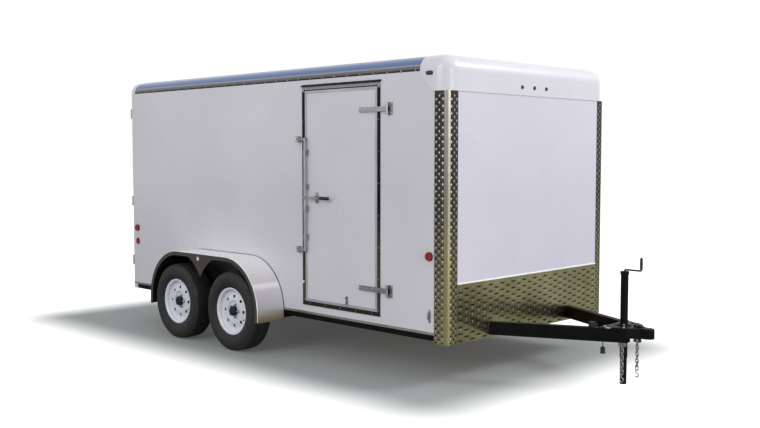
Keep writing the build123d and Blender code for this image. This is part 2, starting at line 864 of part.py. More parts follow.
# Wheels: tyre, steel wheel with eight windows, and hub with brake drum and grease cap.
tread_edge = tyre_half_width - tread_inset
tread_drop = tyre_radius - tread_crown
shoulder = (tyre_half_width - shoulder_inset, tyre_radius - shoulder_drop)
bulge = (tyre_half_width, bead_radius + tyre_bulge)
bead_top = (rim_half_width - flange_thick - running_gap, rim_flange_radius + flange_thick)
bead_heel = (bead_top[0], bead_radius + flange_height / 2)
bead_toe = (rim_half_width - 3 * flange_thick, bead_radius + running_gap)
barrel = bead_radius - running_gap
barrel_inner = barrel - disc_thick
disc_foot = barrel_inner - disc_drop
bore = cap_radius + running_gap
window_ring = ridge_outer + window_radius + ridge_rise
drum_back = -plate_in + flange_thick
drum_front = disc_out - disc_thick - drum_wall
hub_face = disc_out - disc_thick - running_gap
axles_named = zip(axle_back, ("front", "rear"))
wheel_sites = [(back, side, f"{end}_{word}") for back, end in axles_named for side, word in sides]


def flip(point):
    """The same point on the other side of a wheel's middle plane."""
    return (-point[0], point[1])


for back, side, word in wheel_sites:
    place = wheel_plane(back, side)
    with BuildPart() as tyre:
        with BuildSketch(place) as section:
            with BuildLine():
                crown = (tread_edge, tread_drop)
                ThreePointArc(bead_top, bulge, shoulder)
                Line(shoulder, crown)
                ThreePointArc(crown, (0, tyre_radius), flip(crown))
                Line(flip(crown), flip(shoulder))
                ThreePointArc(flip(shoulder), flip(bulge), flip(bead_top))
                Polyline(flip(bead_top), flip(bead_heel), flip(bead_toe), bead_toe, bead_heel, bead_top)
            make_face()
        revolve(section.sketch, axis=Axis(place.origin, place.x_dir))
    keep(tyre, f"tyre_{word}")
    with BuildPart() as wheel:
        rim = (
            (rim_half_width - flange_thick, rim_flange_radius),
            (rim_half_width, rim_flange_radius),
            (rim_half_width, bead_radius + disc_thick),
            (rim_half_width - 2 * disc_thick, barrel_inner),
        )
        seat = (
            (rim_half_width - flange_thick, bead_heel[1]),
            (rim_half_width - 3 * flange_thick - running_gap, barrel),
        )
        disc = (
            (disc_out + disc_thick, barrel_inner),
            (disc_out, disc_foot),
            (disc_out + ridge_rise, ridge_outer),
            (disc_out + ridge_rise, ridge_inner),
            (disc_out, ridge_inner - ridge_rise),
            (disc_out, bore),
            (disc_out - disc_thick, bore),
            (disc_out - disc_thick, ridge_inner - ridge_rise),
            (disc_out + ridge_rise - disc_thick, ridge_inner),
            (disc_out + ridge_rise - disc_thick, ridge_outer),
            (disc_out - disc_thick, disc_foot),
            (disc_out - disc_thick, barrel_inner),
        )
        inner_rim = [flip(point) for point in reversed(rim)]
        inner_seat = [flip(point) for point in seat]
        spin(place, (*seat[::-1], *rim, *disc, *inner_rim, *inner_seat))
        with BuildSketch(Plane(origin=place.origin, x_dir=(1, 0, 0), z_dir=(0, side, 0))):
            with PolarLocations(window_ring, window_count):
                Circle(window_radius)
        extrude(amount=rim_half_width, mode=Mode.SUBTRACT)
    keep(wheel, f"wheel_{word}")
    with BuildPart() as wheel_hub:
        spin(
            place,
            (
                (drum_back, drum_radius - drum_wall),
                (drum_back, drum_radius),
                (drum_front, drum_radius),
                (hub_face, hub_flange),
                (hub_face, cap_radius),
                (disc_out + cap_rise - cap_chamfer, cap_radius),
                (disc_out + cap_rise, cap_radius - cap_chamfer),
                (disc_out + cap_rise, 0),
                (disc_out + cap_rise / 2, 0),
                (disc_out + cap_rise / 2, spindle_radius + running_gap),
                (drum_back, spindle_radius + running_gap),
                (drum_back, hub_core),
                (drum_front - drum_wall, hub_core),
                (drum_front - drum_wall, drum_radius - drum_wall),
            ),
        )
    keep(wheel_hub, f"hub_{word}")

# Jack: a round tube through the tongue with a welded flange, a telescoping leg and a crank.
jack = (nose_x + jack_x, 0)
plate_top = deck + coupler_plate
with BuildPart() as jack_tube:
    with BuildSketch(Plane.XY.offset(jack_bottom)):
        with Locations(jack):
            Circle(jack_radius)
            Circle(jack_bore, mode=Mode.SUBTRACT)
    extrude(amount=jack_top - jack_bottom)
    with BuildSketch(Plane.XY.offset(plate_top)):
        with Locations(jack):
            Circle(jack_flange_radius)
            Circle(jack_bore, mode=Mode.SUBTRACT)
    extrude(amount=coupler_plate)
    with BuildSketch(Plane.XY.offset(jack_top)):
        with Locations(jack):
            Circle(jack_radius + jack_head_rim)
    extrude(amount=jack_head)
keep(jack_tube, "jack_tube")

with BuildPart() as jack_leg:
    with BuildSketch(Plane.XY):
        with Locations(jack):
            Circle(jack_leg_radius)
            Circle(jack_leg_radius - leg_wall, mode=Mode.SUBTRACT)
    extrude(amount=jack_leg_top)
    with BuildSketch(Plane.XY):
        with Locations(jack):
            Circle(jack_leg_radius)
    extrude(amount=foot_thick)
keep(jack_leg, "jack_leg")

with BuildPart() as jack_crank:
    head = jack_top + jack_head
    arm_z = head + crank_lift
    path_points = (
        (jack[0], 0, head),
        (jack[0], 0, arm_z),
        (jack[0] + crank_reach, 0, arm_z),
        (jack[0] + crank_reach, 0, arm_z + crank_rise),
    )
    with BuildLine():
        crank_path = FilletPolyline(*path_points, radius=crank_lift * 0.75)
    with BuildSketch(Plane(origin=path_points[0], z_dir=(0, 0, 1))):
        Circle(crank_radius)
    sweep(path=crank_path)
keep(jack_crank, "jack_crank")

# Coupler: a plate on the tongue and a pressed nose, hollow below, with the ball socket in it.
coupler_bottom = plate_top - coupler_height
tip = nose_x + tongue_reach
nose_back = nose_x + tongue_end
socket_x = tip - socket_back


def tongue_edge(ahead):
    """Half width of the coupler at a distance ahead of the front face, over both tongue tubes."""
    return tongue_half_gap - tongue_slope * ahead + coupler_margin


with BuildPart() as coupler:
    with BuildSketch(Plane.XY.offset(coupler_bottom)) as nose_plan:
        with BuildLine():
            round_x = tip - nose_half
            taper_x = round_x - nose_straight
            base_half = tongue_edge(tongue_end)
            Polyline((nose_back, -base_half), (taper_x, -nose_half), (round_x, -nose_half))
            ThreePointArc((round_x, -nose_half), (tip, 0), (round_x, nose_half))
            Polyline((round_x, nose_half), (taper_x, nose_half), (nose_back, base_half))
            Line((nose_back, base_half), (nose_back, -base_half))
        make_face()
    extrude(amount=coupler_height)
    nose_top = coupler.edges().group_by(Axis.Z)[-1].sort_by(Axis.X)[1:]
    fillet(nose_top, nose_round)
    pocket_plan = offset(nose_plan.sketch, amount=-coupler_plate, mode=Mode.PRIVATE)
    extrude(pocket_plan, amount=coupler_height - coupler_plate, mode=Mode.SUBTRACT)
    with BuildSketch(Plane.XY.offset(coupler_bottom)):
        with Locations((socket_x, 0)):
            Circle(ball_socket_radius + coupler_plate)
    extrude(amount=coupler_height - coupler_plate)
    with BuildSketch(Plane.XY.offset(coupler_bottom)):
        with Locations((socket_x, 0)):
            Circle(ball_socket_radius)
    extrude(amount=socket_depth, mode=Mode.SUBTRACT)
    with Locations((socket_x, 0, coupler_bottom + socket_depth)):
        Sphere(ball_socket_radius, mode=Mode.SUBTRACT)
    with BuildSketch(Plane.XY.offset(deck)):
        with BuildLine():
            back_half = tongue_edge(coupler_back)
            Polyline(
                (nose_x + coupler_back, back_half),
                (nose_back, base_half),
                (nose_back, -base_half),
                (nose_x + coupler_back, -back_half),
                close=True,
            )
        make_face()
        with Locations(jack):
            Circle(jack_radius + running_gap, mode=Mode.SUBTRACT)
    extrude(amount=coupler_plate)
keep(coupler, "coupler")

# Coupler latch: a pressed lever on top of the nose, higher at its rear end.
with BuildPart() as coupler_latch:
    with BuildSketch(across(latch_width / 2)):
        with BuildLine():
            Polyline(
                (nose_back, plate_top),
                (nose_back, plate_top + latch_rise * 2 / 3),
                (nose_back + latch_length / 5, plate_top + latch_rise),
                (nose_back + latch_length * 2 / 5, plate_top + latch_rise),
                (nose_back + latch_length * 4 / 5, plate_top + latch_rise / 4),
                (nose_back + latch_length, plate_top),
                close=True,
            )
        make_face()
    extrude(amount=latch_width)
keep(coupler_latch, "coupler_latch")

# Safety chains: a tab under each tongue tube with a strand of links hanging from it.
link_bite = link_width / 2 - link_wire - sqrt((link_width / 2 - link_wire) ** 2 - (link_wire / 2) ** 2)
link_pitch = link_length - 2 * link_wire - 2 * link_bite - running_gap
tab_eye = link_wire
tab_eye_bite = tab_eye - sqrt(tab_eye**2 - (link_wire / 2) ** 2)
with BuildPart() as safety_chains:
    for side, word in sides:
        strand_x = nose_x + chain_ahead
        strand_y = side * (tongue_half_gap - tongue_slope * chain_ahead)
        eye_z = rail_bottom - tab_drop + tab_eye + link_wire / 2
        with BuildSketch(across(strand_y + link_wire / 2)):
            with Locations((strand_x, rail_bottom - tab_drop / 2)):
                Rectangle(2 * tab_drop, tab_drop)
            with Locations((strand_x, eye_z)):
                Circle(tab_eye, mode=Mode.SUBTRACT)
        extrude(amount=link_wire)
        rest_z = eye_z - tab_eye + tab_eye_bite + link_bite + running_gap
        for step in range(chain_links):
            link_z = rest_z - link_length / 2 + link_wire - step * link_pitch
            normal = (0, 1, 0) if step % 2 else (1, 0, 0)
            ring = Plane(origin=(strand_x, strand_y, link_z), x_dir=(0, 0, 1), z_dir=normal)
            with BuildSketch(ring.offset(-link_wire / 2)):
                SlotOverall(link_length, link_width)
                SlotOverall(link_length - 2 * link_wire, link_width - 2 * link_wire, mode=Mode.SUBTRACT)
            extrude(amount=link_wire)
keep(safety_chains, "safety_chains")

# Lead: a short cable under the right tongue tube, with its plug.
lead_y = -(tongue_half_gap - tongue_slope * lead_ahead)
with BuildPart() as trailer_lead:
    with Locations((nose_x + lead_ahead, lead_y, rail_bottom - lead_length / 2)):
        Cylinder(lead_radius, lead_length)
keep(trailer_lead, "trailer_lead")
with BuildPart() as lead_plug:
    with Locations((nose_x + lead_ahead, lead_y, rail_bottom - lead_length - plug_length / 2)):
        Cylinder(plug_radius, plug_length)
    fillet(lead_plug.edges().group_by(Axis.Z)[-1], plug_round)
keep(lead_plug, "lead_plug")

# Lamps: markers and a reflector on the sides, small ones in the cap, and the rear's set.
side_lamp_sites = (
    (front_lamp_inset, side_lamp_z, lamp_proud),
    (body_length - rear_lamp_inset, side_lamp_z, lamp_proud),
    (body_length - rear_lamp_inset, reflector_z, reflector_proud),
)
with BuildPart() as side_lamps:
    for side, word in sides:
        for back, height, proud in side_lamp_sites:
            with BuildSketch(across(side * half + (proud if side > 0 else 0))):
                with Locations((nose_x - back, height)):
                    Circle(lamp_radius)
            extrude(amount=proud)
keep(side_lamps, "side_lamps")

with BuildPart() as cap_lamps:
    for step in (-1, 0, 1):
        with BuildSketch(along(cap_front)):
            with Locations((step * cap_lamp_pitch, wall_top - cap_lamp_drop)):
                Circle(cap_lamp_radius)
        extrude(amount=cap_lamp_proud)
    for side, word in sides:
        with BuildSketch(across(side * cap_half + (cap_lamp_proud if side > 0 else 0))):
            with Locations((nose_x - front_lamp_inset, wall_top - cap_side_drop)):
                SlotOverall(clearance_length, clearance_height)
        extrude(amount=cap_lamp_proud)
keep(cap_lamps, "cap_lamps")

with BuildPart() as tail_lamps:
    with BuildSketch(along(rear_x - tail_lamp_proud)):
        for side, word in sides:
            tail_lamp_y = side * (half - tail_lamp_inset)
            with Locations((tail_lamp_y, (rail_bottom + floor_top) / 2)):
                SlotOverall(tail_lamp_length, tail_lamp_height)
            with Locations((tail_lamp_y, roof_top - tail_lamp_height / 2)):
                SlotOverall(clearance_length, clearance_height)
        for step in (-1, 0, 1):
            with Locations((step * cap_lamp_pitch, roof_top - tail_lamp_height / 2)):
                Circle(header_lamp_radius)
    extrude(amount=tail_lamp_proud)
keep(tail_lamps, "tail_lamps")
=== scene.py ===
from math import cos, pi, radians, sin

import bmesh
import bpy
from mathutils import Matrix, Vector
from mathutils.bvhtree import BVHTree


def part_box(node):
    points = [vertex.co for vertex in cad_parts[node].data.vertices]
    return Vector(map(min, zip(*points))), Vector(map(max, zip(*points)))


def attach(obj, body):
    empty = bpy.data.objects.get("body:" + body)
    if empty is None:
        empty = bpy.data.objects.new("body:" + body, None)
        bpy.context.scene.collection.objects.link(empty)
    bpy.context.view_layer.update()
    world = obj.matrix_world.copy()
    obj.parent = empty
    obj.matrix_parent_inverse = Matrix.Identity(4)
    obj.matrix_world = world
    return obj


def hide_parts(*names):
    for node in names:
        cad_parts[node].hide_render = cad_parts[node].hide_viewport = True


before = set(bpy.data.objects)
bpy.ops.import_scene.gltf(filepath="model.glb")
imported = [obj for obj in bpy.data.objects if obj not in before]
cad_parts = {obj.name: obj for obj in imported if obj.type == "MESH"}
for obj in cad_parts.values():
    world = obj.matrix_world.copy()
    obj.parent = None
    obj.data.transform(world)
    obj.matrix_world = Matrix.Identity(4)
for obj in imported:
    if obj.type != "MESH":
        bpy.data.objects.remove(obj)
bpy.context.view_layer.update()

# Camera: it stands ahead of the trailer's right front corner, at eye height, with a normal lens.
# Its place was fitted to the edges of the box in the photograph.
lens = bpy.data.cameras.new("camera")
lens.lens = 45.12
lens.sensor_width = 36.0
camera = bpy.data.objects.new("camera", lens)
camera.location = (6.0985, -6.367, 1.733)
camera.rotation_euler = (radians(86.378), 0.0, radians(44.27))
bpy.context.collection.objects.link(camera)
bpy.context.scene.camera = camera
bpy.context.scene.view_settings.view_transform = "Standard"

# Frame, tongue, axles, jack and coupler: steel tube and folded plate, welded together, with a
# semi-gloss black paint that has a fine orange-peel and a little dust.


def start_finish(name, colour, rough, metal=0.0):
    """A finish with one shader, whose plain values the next calls refine."""
    finish = bpy.data.materials.new(name)
    finish.use_nodes = True
    shader = finish.node_tree.nodes["Principled BSDF"]
    shader.inputs["Base Color"].default_value = (*colour, 1.0)
    shader.inputs["Roughness"].default_value = rough
    shader.inputs["Metallic"].default_value = metal
    return finish


def cloud(finish, scale, detail=4.0, stretch=(1.0, 1.0, 1.0)):
    """Soft random field over a finish, in the trailer's own frame, drawn out by stretch."""
    tree = finish.node_tree
    place = tree.nodes.new("ShaderNodeTexCoord")
    spread = tree.nodes.new("ShaderNodeMapping")
    spread.inputs["Scale"].default_value = stretch
    field = tree.nodes.new("ShaderNodeTexNoise")
    field.inputs["Scale"].default_value = scale
    field.inputs["Detail"].default_value = detail
    tree.links.new(place.outputs["Object"], spread.inputs["Vector"])
    tree.links.new(spread.outputs["Vector"], field.inputs["Vector"])
    return field.outputs[0]


def tint(finish, field, stops, shader="Principled BSDF"):
    """Colour a finish along a field, from a list of (place, colour) stops."""
    tree = finish.node_tree
    ramp = tree.nodes.new("ShaderNodeValToRGB")
    band = ramp.color_ramp
    while len(band.elements) < len(stops):
        band.elements.new(0.5)
    for element, (place, colour) in zip(band.elements, stops):
        element.position = place
        element.color = (*colour, 1.0)
    tree.links.new(field, ramp.inputs[0])
    tree.links.new(ramp.outputs[0], tree.nodes[shader].inputs["Base Color"])
    return ramp.outputs[0]


def dull(finish, field, low, high, shader="Principled BSDF"):
    """Vary a finish's roughness between two values along a field."""
    tree = finish.node_tree
    scale = tree.nodes.new("ShaderNodeMapRange")
    scale.inputs["From Min"].default_value = 0.3
    scale.inputs["From Max"].default_value = 0.7
    scale.inputs["To Min"].default_value = low
    scale.inputs["To Max"].default_value = high
    tree.links.new(field, scale.inputs["Value"])
    tree.links.new(scale.outputs[0], tree.nodes[shader].inputs["Roughness"])


def emboss(finish, field, strength, depth, shader="Principled BSDF"):
    """Raise a finish's surface along a field, depth in metres."""
    tree = finish.node_tree
    relief = tree.nodes.new("ShaderNodeBump")
    relief.inputs["Strength"].default_value = strength
    relief.inputs["Distance"].default_value = depth
    tree.links.new(field, relief.inputs["Height"])
    tree.links.new(relief.outputs["Normal"], tree.nodes[shader].inputs["Normal"])


def paint_finish(name, dark, light, rough):
    """Enamel brushed onto steel."""
    finish = start_finish(name, dark, rough)
    finish.node_tree.nodes["Principled BSDF"].inputs["Specular IOR Level"].default_value = 0.1
    tint(finish, cloud(finish, 9.0), [(0.35, dark), (0.8, light)])
    dull(finish, cloud(finish, 26.0), rough - 0.07, rough + 0.12)
    emboss(finish, cloud(finish, 160.0, 2.0), 0.12, 0.0006)
    return finish


def dress(finish, *names):
    """Give CAD nodes their finish."""
    for name in names:
        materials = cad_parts[name].data.materials
        materials.clear()
        materials.append(finish)


black_paint = paint_finish("black_paint", (0.0018, 0.0014, 0.0018), (0.006, 0.005, 0.005), 0.45)
dress(black_paint, "frame_rail_left", "frame_rail_right", "crossmembers", "axles")
dress(black_paint, "tongue_left", "tongue_right", "coupler", "coupler_latch")
dress(black_paint, "jack_tube", "jack_leg", "jack_crank")

# Floor: plywood sheets, laid on the joists and screwed down, with their long grain along the
# trailer and no paint.


def plywood_shader(finish, name):
    """Extra shader in a finish: bare plywood with long grain."""
    wood = finish.node_tree.nodes.new("ShaderNodeBsdfPrincipled")
    wood.name = name
    grain = cloud(finish, 5.0, 6.0, (1.0, 6.0, 22.0))
    grain_stops = [(0.32, (0.34, 0.21, 0.11)), (0.5, (0.52, 0.36, 0.2)), (0.7, (0.6, 0.44, 0.27))]
    tint(finish, grain, grain_stops, name)
    dull(finish, grain, 0.6, 0.75, name)
    emboss(finish, grain, 0.2, 0.0006, name)
    return wood


floor_wood = bpy.data.materials.new("floor_wood")
floor_wood.use_nodes = True
floor_grain = plywood_shader(floor_wood, "floor_grain")
tree = floor_wood.node_tree
tree.nodes.remove(tree.nodes["Principled BSDF"])
tree.links.new(floor_grain.outputs[0], tree.nodes["Material Output"].inputs["Surface"])
dress(floor_wood, "floor")

# Side walls, front panel and door skins: smooth sheets of pre-painted white aluminium, bonded
# over posts, with bare plywood lining on the inside and painted shade behind the wheels.


def box_of(name):
    """Low and high corners of a CAD node, to a hundredth of a millimetre."""
    return [[round(value, 5) for value in corner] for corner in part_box(name)]


def middle_of(name):
    """Middle of a CAD node's box."""
    low, high = box_of(name)
    return [(first + last) / 2 for first, last in zip(low, high)]


nose = box_of("front_wall")[1][0]
rear = box_of("rear_frame")[0][0]
half = box_of("side_wall_left")[1][1]
sides = ((1, "left"), (-1, "right"))
wheel_mid = middle_of("fender_left")[0]
axle_z = middle_of("wheel_front_left")[2]
lining_depth = 0.02


def feed(tree, socket, value):
    """Join a socket to another socket, or set it to a plain value."""
    if isinstance(value, bpy.types.NodeSocket):
        tree.links.new(value, socket)
    else:
        socket.default_value = value


def number_step(tree, kind, *terms):
    """Result of one sum on numbers, each a socket or a plain value."""
    step = tree.nodes.new("ShaderNodeMath")
    step.operation = kind
    for socket, term in zip(step.inputs, terms):
        feed(tree, socket, term)
    return step.outputs[0]


def vector_step(tree, kind, *terms):
    """Result of one sum on vectors, each a socket or a plain value."""
    step = tree.nodes.new("ShaderNodeVectorMath")
    step.operation = kind
    for socket, term in zip(step.inputs, terms):
        feed(tree, socket, term)
    return step.outputs["Value" if kind in ("LENGTH", "DISTANCE", "DOT_PRODUCT") else "Vector"]


def place_in(tree):
    """Place being shaded, in the trailer's own frame."""
    return tree.nodes.new("ShaderNodeTexCoord").outputs["Object"]


def part_of(tree, vector, axis):
    """One of a vector's three numbers."""
    split = tree.nodes.new("ShaderNodeSeparateXYZ")
    tree.links.new(vector, split.inputs[0])
    return split.outputs[axis]


def beyond_box(tree, middle, half_size):
    """How far the place being shaded lies outside a box."""
    away = vector_step(tree, "ABSOLUTE", vector_step(tree, "SUBTRACT", place_in(tree), middle))
    outside = vector_step(tree, "SUBTRACT", away, half_size)
    return vector_step(tree, "LENGTH", vector_step(tree, "MAXIMUM", outside, (0.0, 0.0, 0.0)))


def cover(tree, mask, first, second, output="Material Output"):
    """Show one shader where mask is 0 and another where it is 1."""
    both = tree.nodes.new("ShaderNodeMixShader")
    for socket, source in zip(both.inputs, (mask, first.outputs[0], second.outputs[0])):
        tree.links.new(source, socket)
    tree.links.new(both.outputs[0], tree.nodes[output].inputs["Surface"])


def choose_tone(finish, mask, below, above, edge):
    """Base colour of a finish: below where mask is under edge, above elsewhere."""
    tree = finish.node_tree
    tone = tree.nodes.new("ShaderNodeMix")
    tone.data_type = "RGBA"
    tree.links.new(number_step(tree, "GREATER_THAN", mask, edge), tone.inputs["Factor"])
    tree.links.new(below, tone.inputs["A"])
    tree.links.new(above, tone.inputs["B"])
    tree.links.new(tone.outputs["Result"], tree.nodes["Principled BSDF"].inputs["Base Color"])
    return tone.outputs["Result"]


def skin_finish(name, dark, light):
    """White enamel on sheet metal, with faint large waves and a soft sheen."""
    finish = start_finish(name, light, 0.3)
    tint(finish, cloud(finish, 0.9, 2.0), [(0.3, dark), (0.7, light)])
    dull(finish, cloud(finish, 3.0), 0.26, 0.38)
    emboss(finish, cloud(finish, 1.3, 1.0, (1.0, 1.0, 0.5)), 0.25, 0.004)
    finish.node_tree.nodes["Principled BSDF"].inputs["Coat Weight"].default_value = 0.25
    return finish


def line_inside(finish, axis, from_inside):
    """Show plywood wherever a wall's point is nearer the trailer's middle than from_inside."""
    tree = finish.node_tree
    wood = plywood_shader(finish, "lining")
    away = number_step(tree, "ABSOLUTE", part_of(tree, place_in(tree), axis))
    outside = number_step(tree, "GREATER_THAN", away, from_inside)
    cover(tree, outside, wood, tree.nodes["Principled BSDF"])


skin_cool = (0.63, 0.615, 0.67)
skin_warm = (0.71, 0.685, 0.73)
side_skin = skin_finish("side_skin", skin_cool, skin_warm)
tree = side_skin.node_tree
enamel_tone = tree.nodes["Principled BSDF"].inputs["Base Color"].links[0].from_socket
# Painted shade: the wall behind the wheels, under the fenders, is coloured near black in place of the
# shade there.
painted_shade_stops = [(0.3, (0.01, 0.009, 0.009)), (0.7, (0.025, 0.023, 0.022))]
painted_shade_tone = tint(side_skin, cloud(side_skin, 9.0), painted_shade_stops)
any_width = 9.0
painted_shade_core = (0.42, any_width, 0.07)
painted_shade_reach = 0.385
from_wheels = beyond_box(tree, (wheel_mid, 0.0, axle_z), painted_shade_core)
choose_tone(side_skin, from_wheels, painted_shade_tone, enamel_tone, painted_shade_reach)
line_inside(side_skin, "Y", half - lining_depth)
dress(side_skin, "side_wall_left", "side_wall_right")
# Painted light: the front panel is the side walls' white enamel made lighter, standing in for the light
# that falls on the front.
front_skin_painted_light = skin_finish("front_skin_painted_light", (0.66, 0.63, 0.725), (0.725, 0.69, 0.775))
line_inside(front_skin_painted_light, "X", nose - lining_depth)
dress(front_skin_painted_light, "front_wall")
door_skin = skin_finish("door_skin", skin_cool, skin_warm)
dress(door_skin, "side_door_panel", "rear_door_left_panel", "rear_door_right_panel")

# Roof: mill-finish aluminium sheet over bows, with the coves rolled from polished aluminium
# and screwed down along both edges. The coves' colour is painted reflection.


def metal_finish(name, dark, light, rough, grain=(1.0, 30.0, 30.0)):
    """Bare metal with drawn-out scratches along its length and faint clouding."""
    finish = start_finish(name, light, rough, 1.0)
    tint(finish, cloud(finish, 4.0, 3.0), [(0.3, dark), (0.7, light)])
    scratches = cloud(finish, 18.0, 3.0, grain)
    dull(finish, scratches, rough * 0.7, rough * 1.35)
    emboss(finish, scratches, 0.06, 0.0006)
    return finish


def facing(finish, axis):
    """How far a finish's surface faces along an axis, from 0 to 1."""
    tree = finish.node_tree
    normal = tree.nodes.new("ShaderNodeNewGeometry").outputs["Normal"]
    return number_step(tree, "ABSOLUTE", part_of(tree, normal, axis))


def around(count):
    """Angles of equal steps round a circle."""
    return [2 * pi * step / count for step in range(count)]


def ring_of(shape, middle, aside, across, radius, steps):
    """Circle of points round a middle, in the plane of two directions."""
    ways = [cos(angle) * aside + sin(angle) * across for angle in around(steps)]
    return [shape.verts.new(middle + radius * way) for way in ways]


def turn(shape, centre, axis, profile, steps=24):
    """Turned form round an axis: profile is a run of (distance along, radius) from end to end."""
    along = Vector(axis).normalized()
    aside = along.orthogonal().normalized()
    across = along.cross(aside)
    rings = []
    for reach, radius in profile:
        middle = Vector(centre) + along * reach
        if radius:
            rings.append(ring_of(shape, middle, aside, across, radius, steps))
        else:
            rings.append([shape.verts.new(middle)])
    for first, second in zip(rings, rings[1:]):
        for step in range(steps):
            after = (step + 1) % steps
            corners = [first[step % len(first)], first[after % len(first)]]
            corners += [second[after % len(second)], second[step % len(second)]]
            unique = list(dict.fromkeys(corners))
            if len(unique) > 2:
                shape.faces.new(unique)
    for ring in (rings[0], rings[-1]):
        if len(ring) > 2:
            shape.faces.new(ring)


def bolt_head(shape, foot, out, radius=0.0085, height=0.0045, steps=14):
    """Domed bolt, screw or rivet head on a surface."""
    profile = [(0.0, 0.0), (0.0, radius), (height * 0.35, radius * 0.97)]
    profile += [(height * 0.75, radius * 0.7), (height, radius * 0.3), (height, 0.0)]
    turn(shape, foot, out, profile, steps)


def surface_of(name):
    """Search tree over a CAD node's surface, to set small fixings on it."""
    shape = bmesh.new()
    shape.from_mesh(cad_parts[name].data)
    search = BVHTree.FromBMesh(shape)
    shape.free()
    return search


def fix_along(shape, surface, first, last, pitch, way, radius=0.005, height=0.0022):
    """Heads set on a surface along a line, found by looking from the line along way."""
    first = Vector(first)
    run = Vector(last) - first
    count = max(1, round(run.length / pitch))
    for step in range(count + 1):
        foot, out = surface.ray_cast(first + run * step / count, Vector(way))[:2]
        if foot is None:
            continue
        bolt_head(shape, foot, out if out.dot(Vector(way)) < 0 else -out, radius, height, 10)


beside_walls = 1.3


def fix_on_side(shape, surface, side, first, last, pitch, radius=0.005, height=0.0022):
    """Heads set along one side of the trailer, between two (ahead, up) places."""
    line = [(ahead, side * beside_walls, up) for ahead, up in (first, last)]
    fix_along(shape, surface, *line, pitch, (0, -side, 0), radius, height)


def set_piece(name, shape, finish, body, sharp=34):
    """Turn a drawn shape into a named piece with its finish, carried by a body."""
    mesh = bpy.data.meshes.new(name)
    bmesh.ops.recalc_face_normals(shape, faces=shape.faces)
    shape.to_mesh(mesh)
    shape.free()
    mesh.materials.append(finish)
    mesh.shade_smooth()
    mesh.set_sharp_from_angle(angle=radians(sharp))
    piece = bpy.data.objects.new(name, mesh)
    bpy.context.collection.objects.link(piece)
    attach(piece, body)
    return piece


all_ways = (30.0, 30.0, 30.0)
upright_grain = (30.0, 30.0, 1.0)
roof_metal = metal_finish("roof_metal", (0.5, 0.52, 0.55), (0.55, 0.57, 0.6), 0.32)
dress(roof_metal, "roof")
cove_metal_painted_reflection = metal_finish("cove_metal_painted_reflection", (0.5, 0.52, 0.56), (0.7, 0.72, 0.76), 0.16)
# Painted reflection: the coves are coloured by the way they face, near black where they face sideways and
# sky blue where they face up, in place of the ground and sky they would mirror.
cove_painted_reflection = [(0.0, (0.012, 0.012, 0.014)), (0.1, (0.02, 0.02, 0.022)), (0.16, (0.13, 0.125, 0.125))]
cove_painted_reflection += [(0.3, (0.15, 0.145, 0.15)), (0.38, (0.3, 0.31, 0.35)), (0.48, (0.12, 0.165, 0.31))]
cove_painted_reflection += [(0.8, (0.14, 0.2, 0.38))]
tint(cove_metal_painted_reflection, facing(cove_metal_painted_reflection, "Z"), cove_painted_reflection)
dress(cove_metal_painted_reflection, "roof_coves")
screw_metal = metal_finish("screw_metal", (0.3, 0.3, 0.31), (0.5, 0.5, 0.51), 0.3, all_ways)
cove_screws = bmesh.new()
cove_surface = surface_of("roof_coves")
roof_low, roof_high = box_of("roof")
seam_back = 0.0005
roof_rear = roof_low[0] - seam_back
roof_front = roof_high[0] - seam_back
screw_inset = 0.009
screw_pitch = 0.15
first_screw = roof_rear + 0.05
last_screw = roof_front - 0.05
lower_row = box_of("roof_coves")[0][2] + screw_inset
above_roof = 3.0
for side in (1, -1):
    line = ((first_screw, lower_row), (last_screw, lower_row))
    fix_on_side(cove_screws, cove_surface, side, *line, screw_pitch)
    upper_row = side * (roof_high[1] + screw_inset)
    line = ((first_screw, upper_row, above_roof), (last_screw, upper_row, above_roof))
    fix_along(cove_screws, cove_surface, *line, screw_pitch, (0, 0, -1))
set_piece("cove_screws", cove_screws, screw_metal, "trailer")

# Roof seam: a bead of grey sealant, laid with a gun along both edges of the roof sheet and
# across its two ends.


def rubber_finish(name, dark, light):
    """Matt rubber with a dusty, slightly uneven surface."""
    finish = start_finish(name, dark, 0.75)
    tint(finish, cloud(finish, 14.0), [(0.3, dark), (0.75, light)])
    dull(finish, cloud(finish, 40.0), 0.62, 0.85)
    emboss(finish, cloud(finish, 420.0, 2.0), 0.15, 0.0004)
    return finish


def bridge(shape, first, second, shift=0):
    """Band of faces between two closed rings with as many points."""
    count = len(first)
    for step in range(count):
        after = (step + 1) % count
        far = (second[(after + shift) % count], second[(step + shift) % count])
        shape.faces.new((first[step], first[after], *far))


def bend_rod(shape, path, radius, closed=False, steps=10):
    """Round rod bent along a path of points."""
    rings = []
    count = len(path)
    for index, point in enumerate(path):
        before = path[(index - 1) % count] if closed or index else point
        after = path[(index + 1) % count] if closed or index < count - 1 else point
        ahead = (Vector(after) - Vector(before)).normalized()
        aside = ahead.cross(Vector((0.013, 1, 0.007))).normalized()
        if abs(ahead.y) > 0.96:
            aside = ahead.cross(Vector((1, 0.01, 0.02))).normalized()
        rings.append(ring_of(shape, Vector(point), aside, ahead.cross(aside), radius, steps))
    pairs = list(zip(rings, rings[1:]))
    if closed:
        pairs.append((rings[-1], rings[0]))
    for first, second in pairs:
        near = min(range(steps), key=lambda shift: (second[shift].co - first[0].co).length)
        bridge(shape, first, second, near)
    if not closed:
        shape.faces.new(rings[0])
        shape.faces.new(rings[-1])


def straight_path(first, last, steps):
    """Points at equal steps from first to last, both included."""
    return [Vector(first).lerp(Vector(last), step / steps) for step in range(steps + 1)]


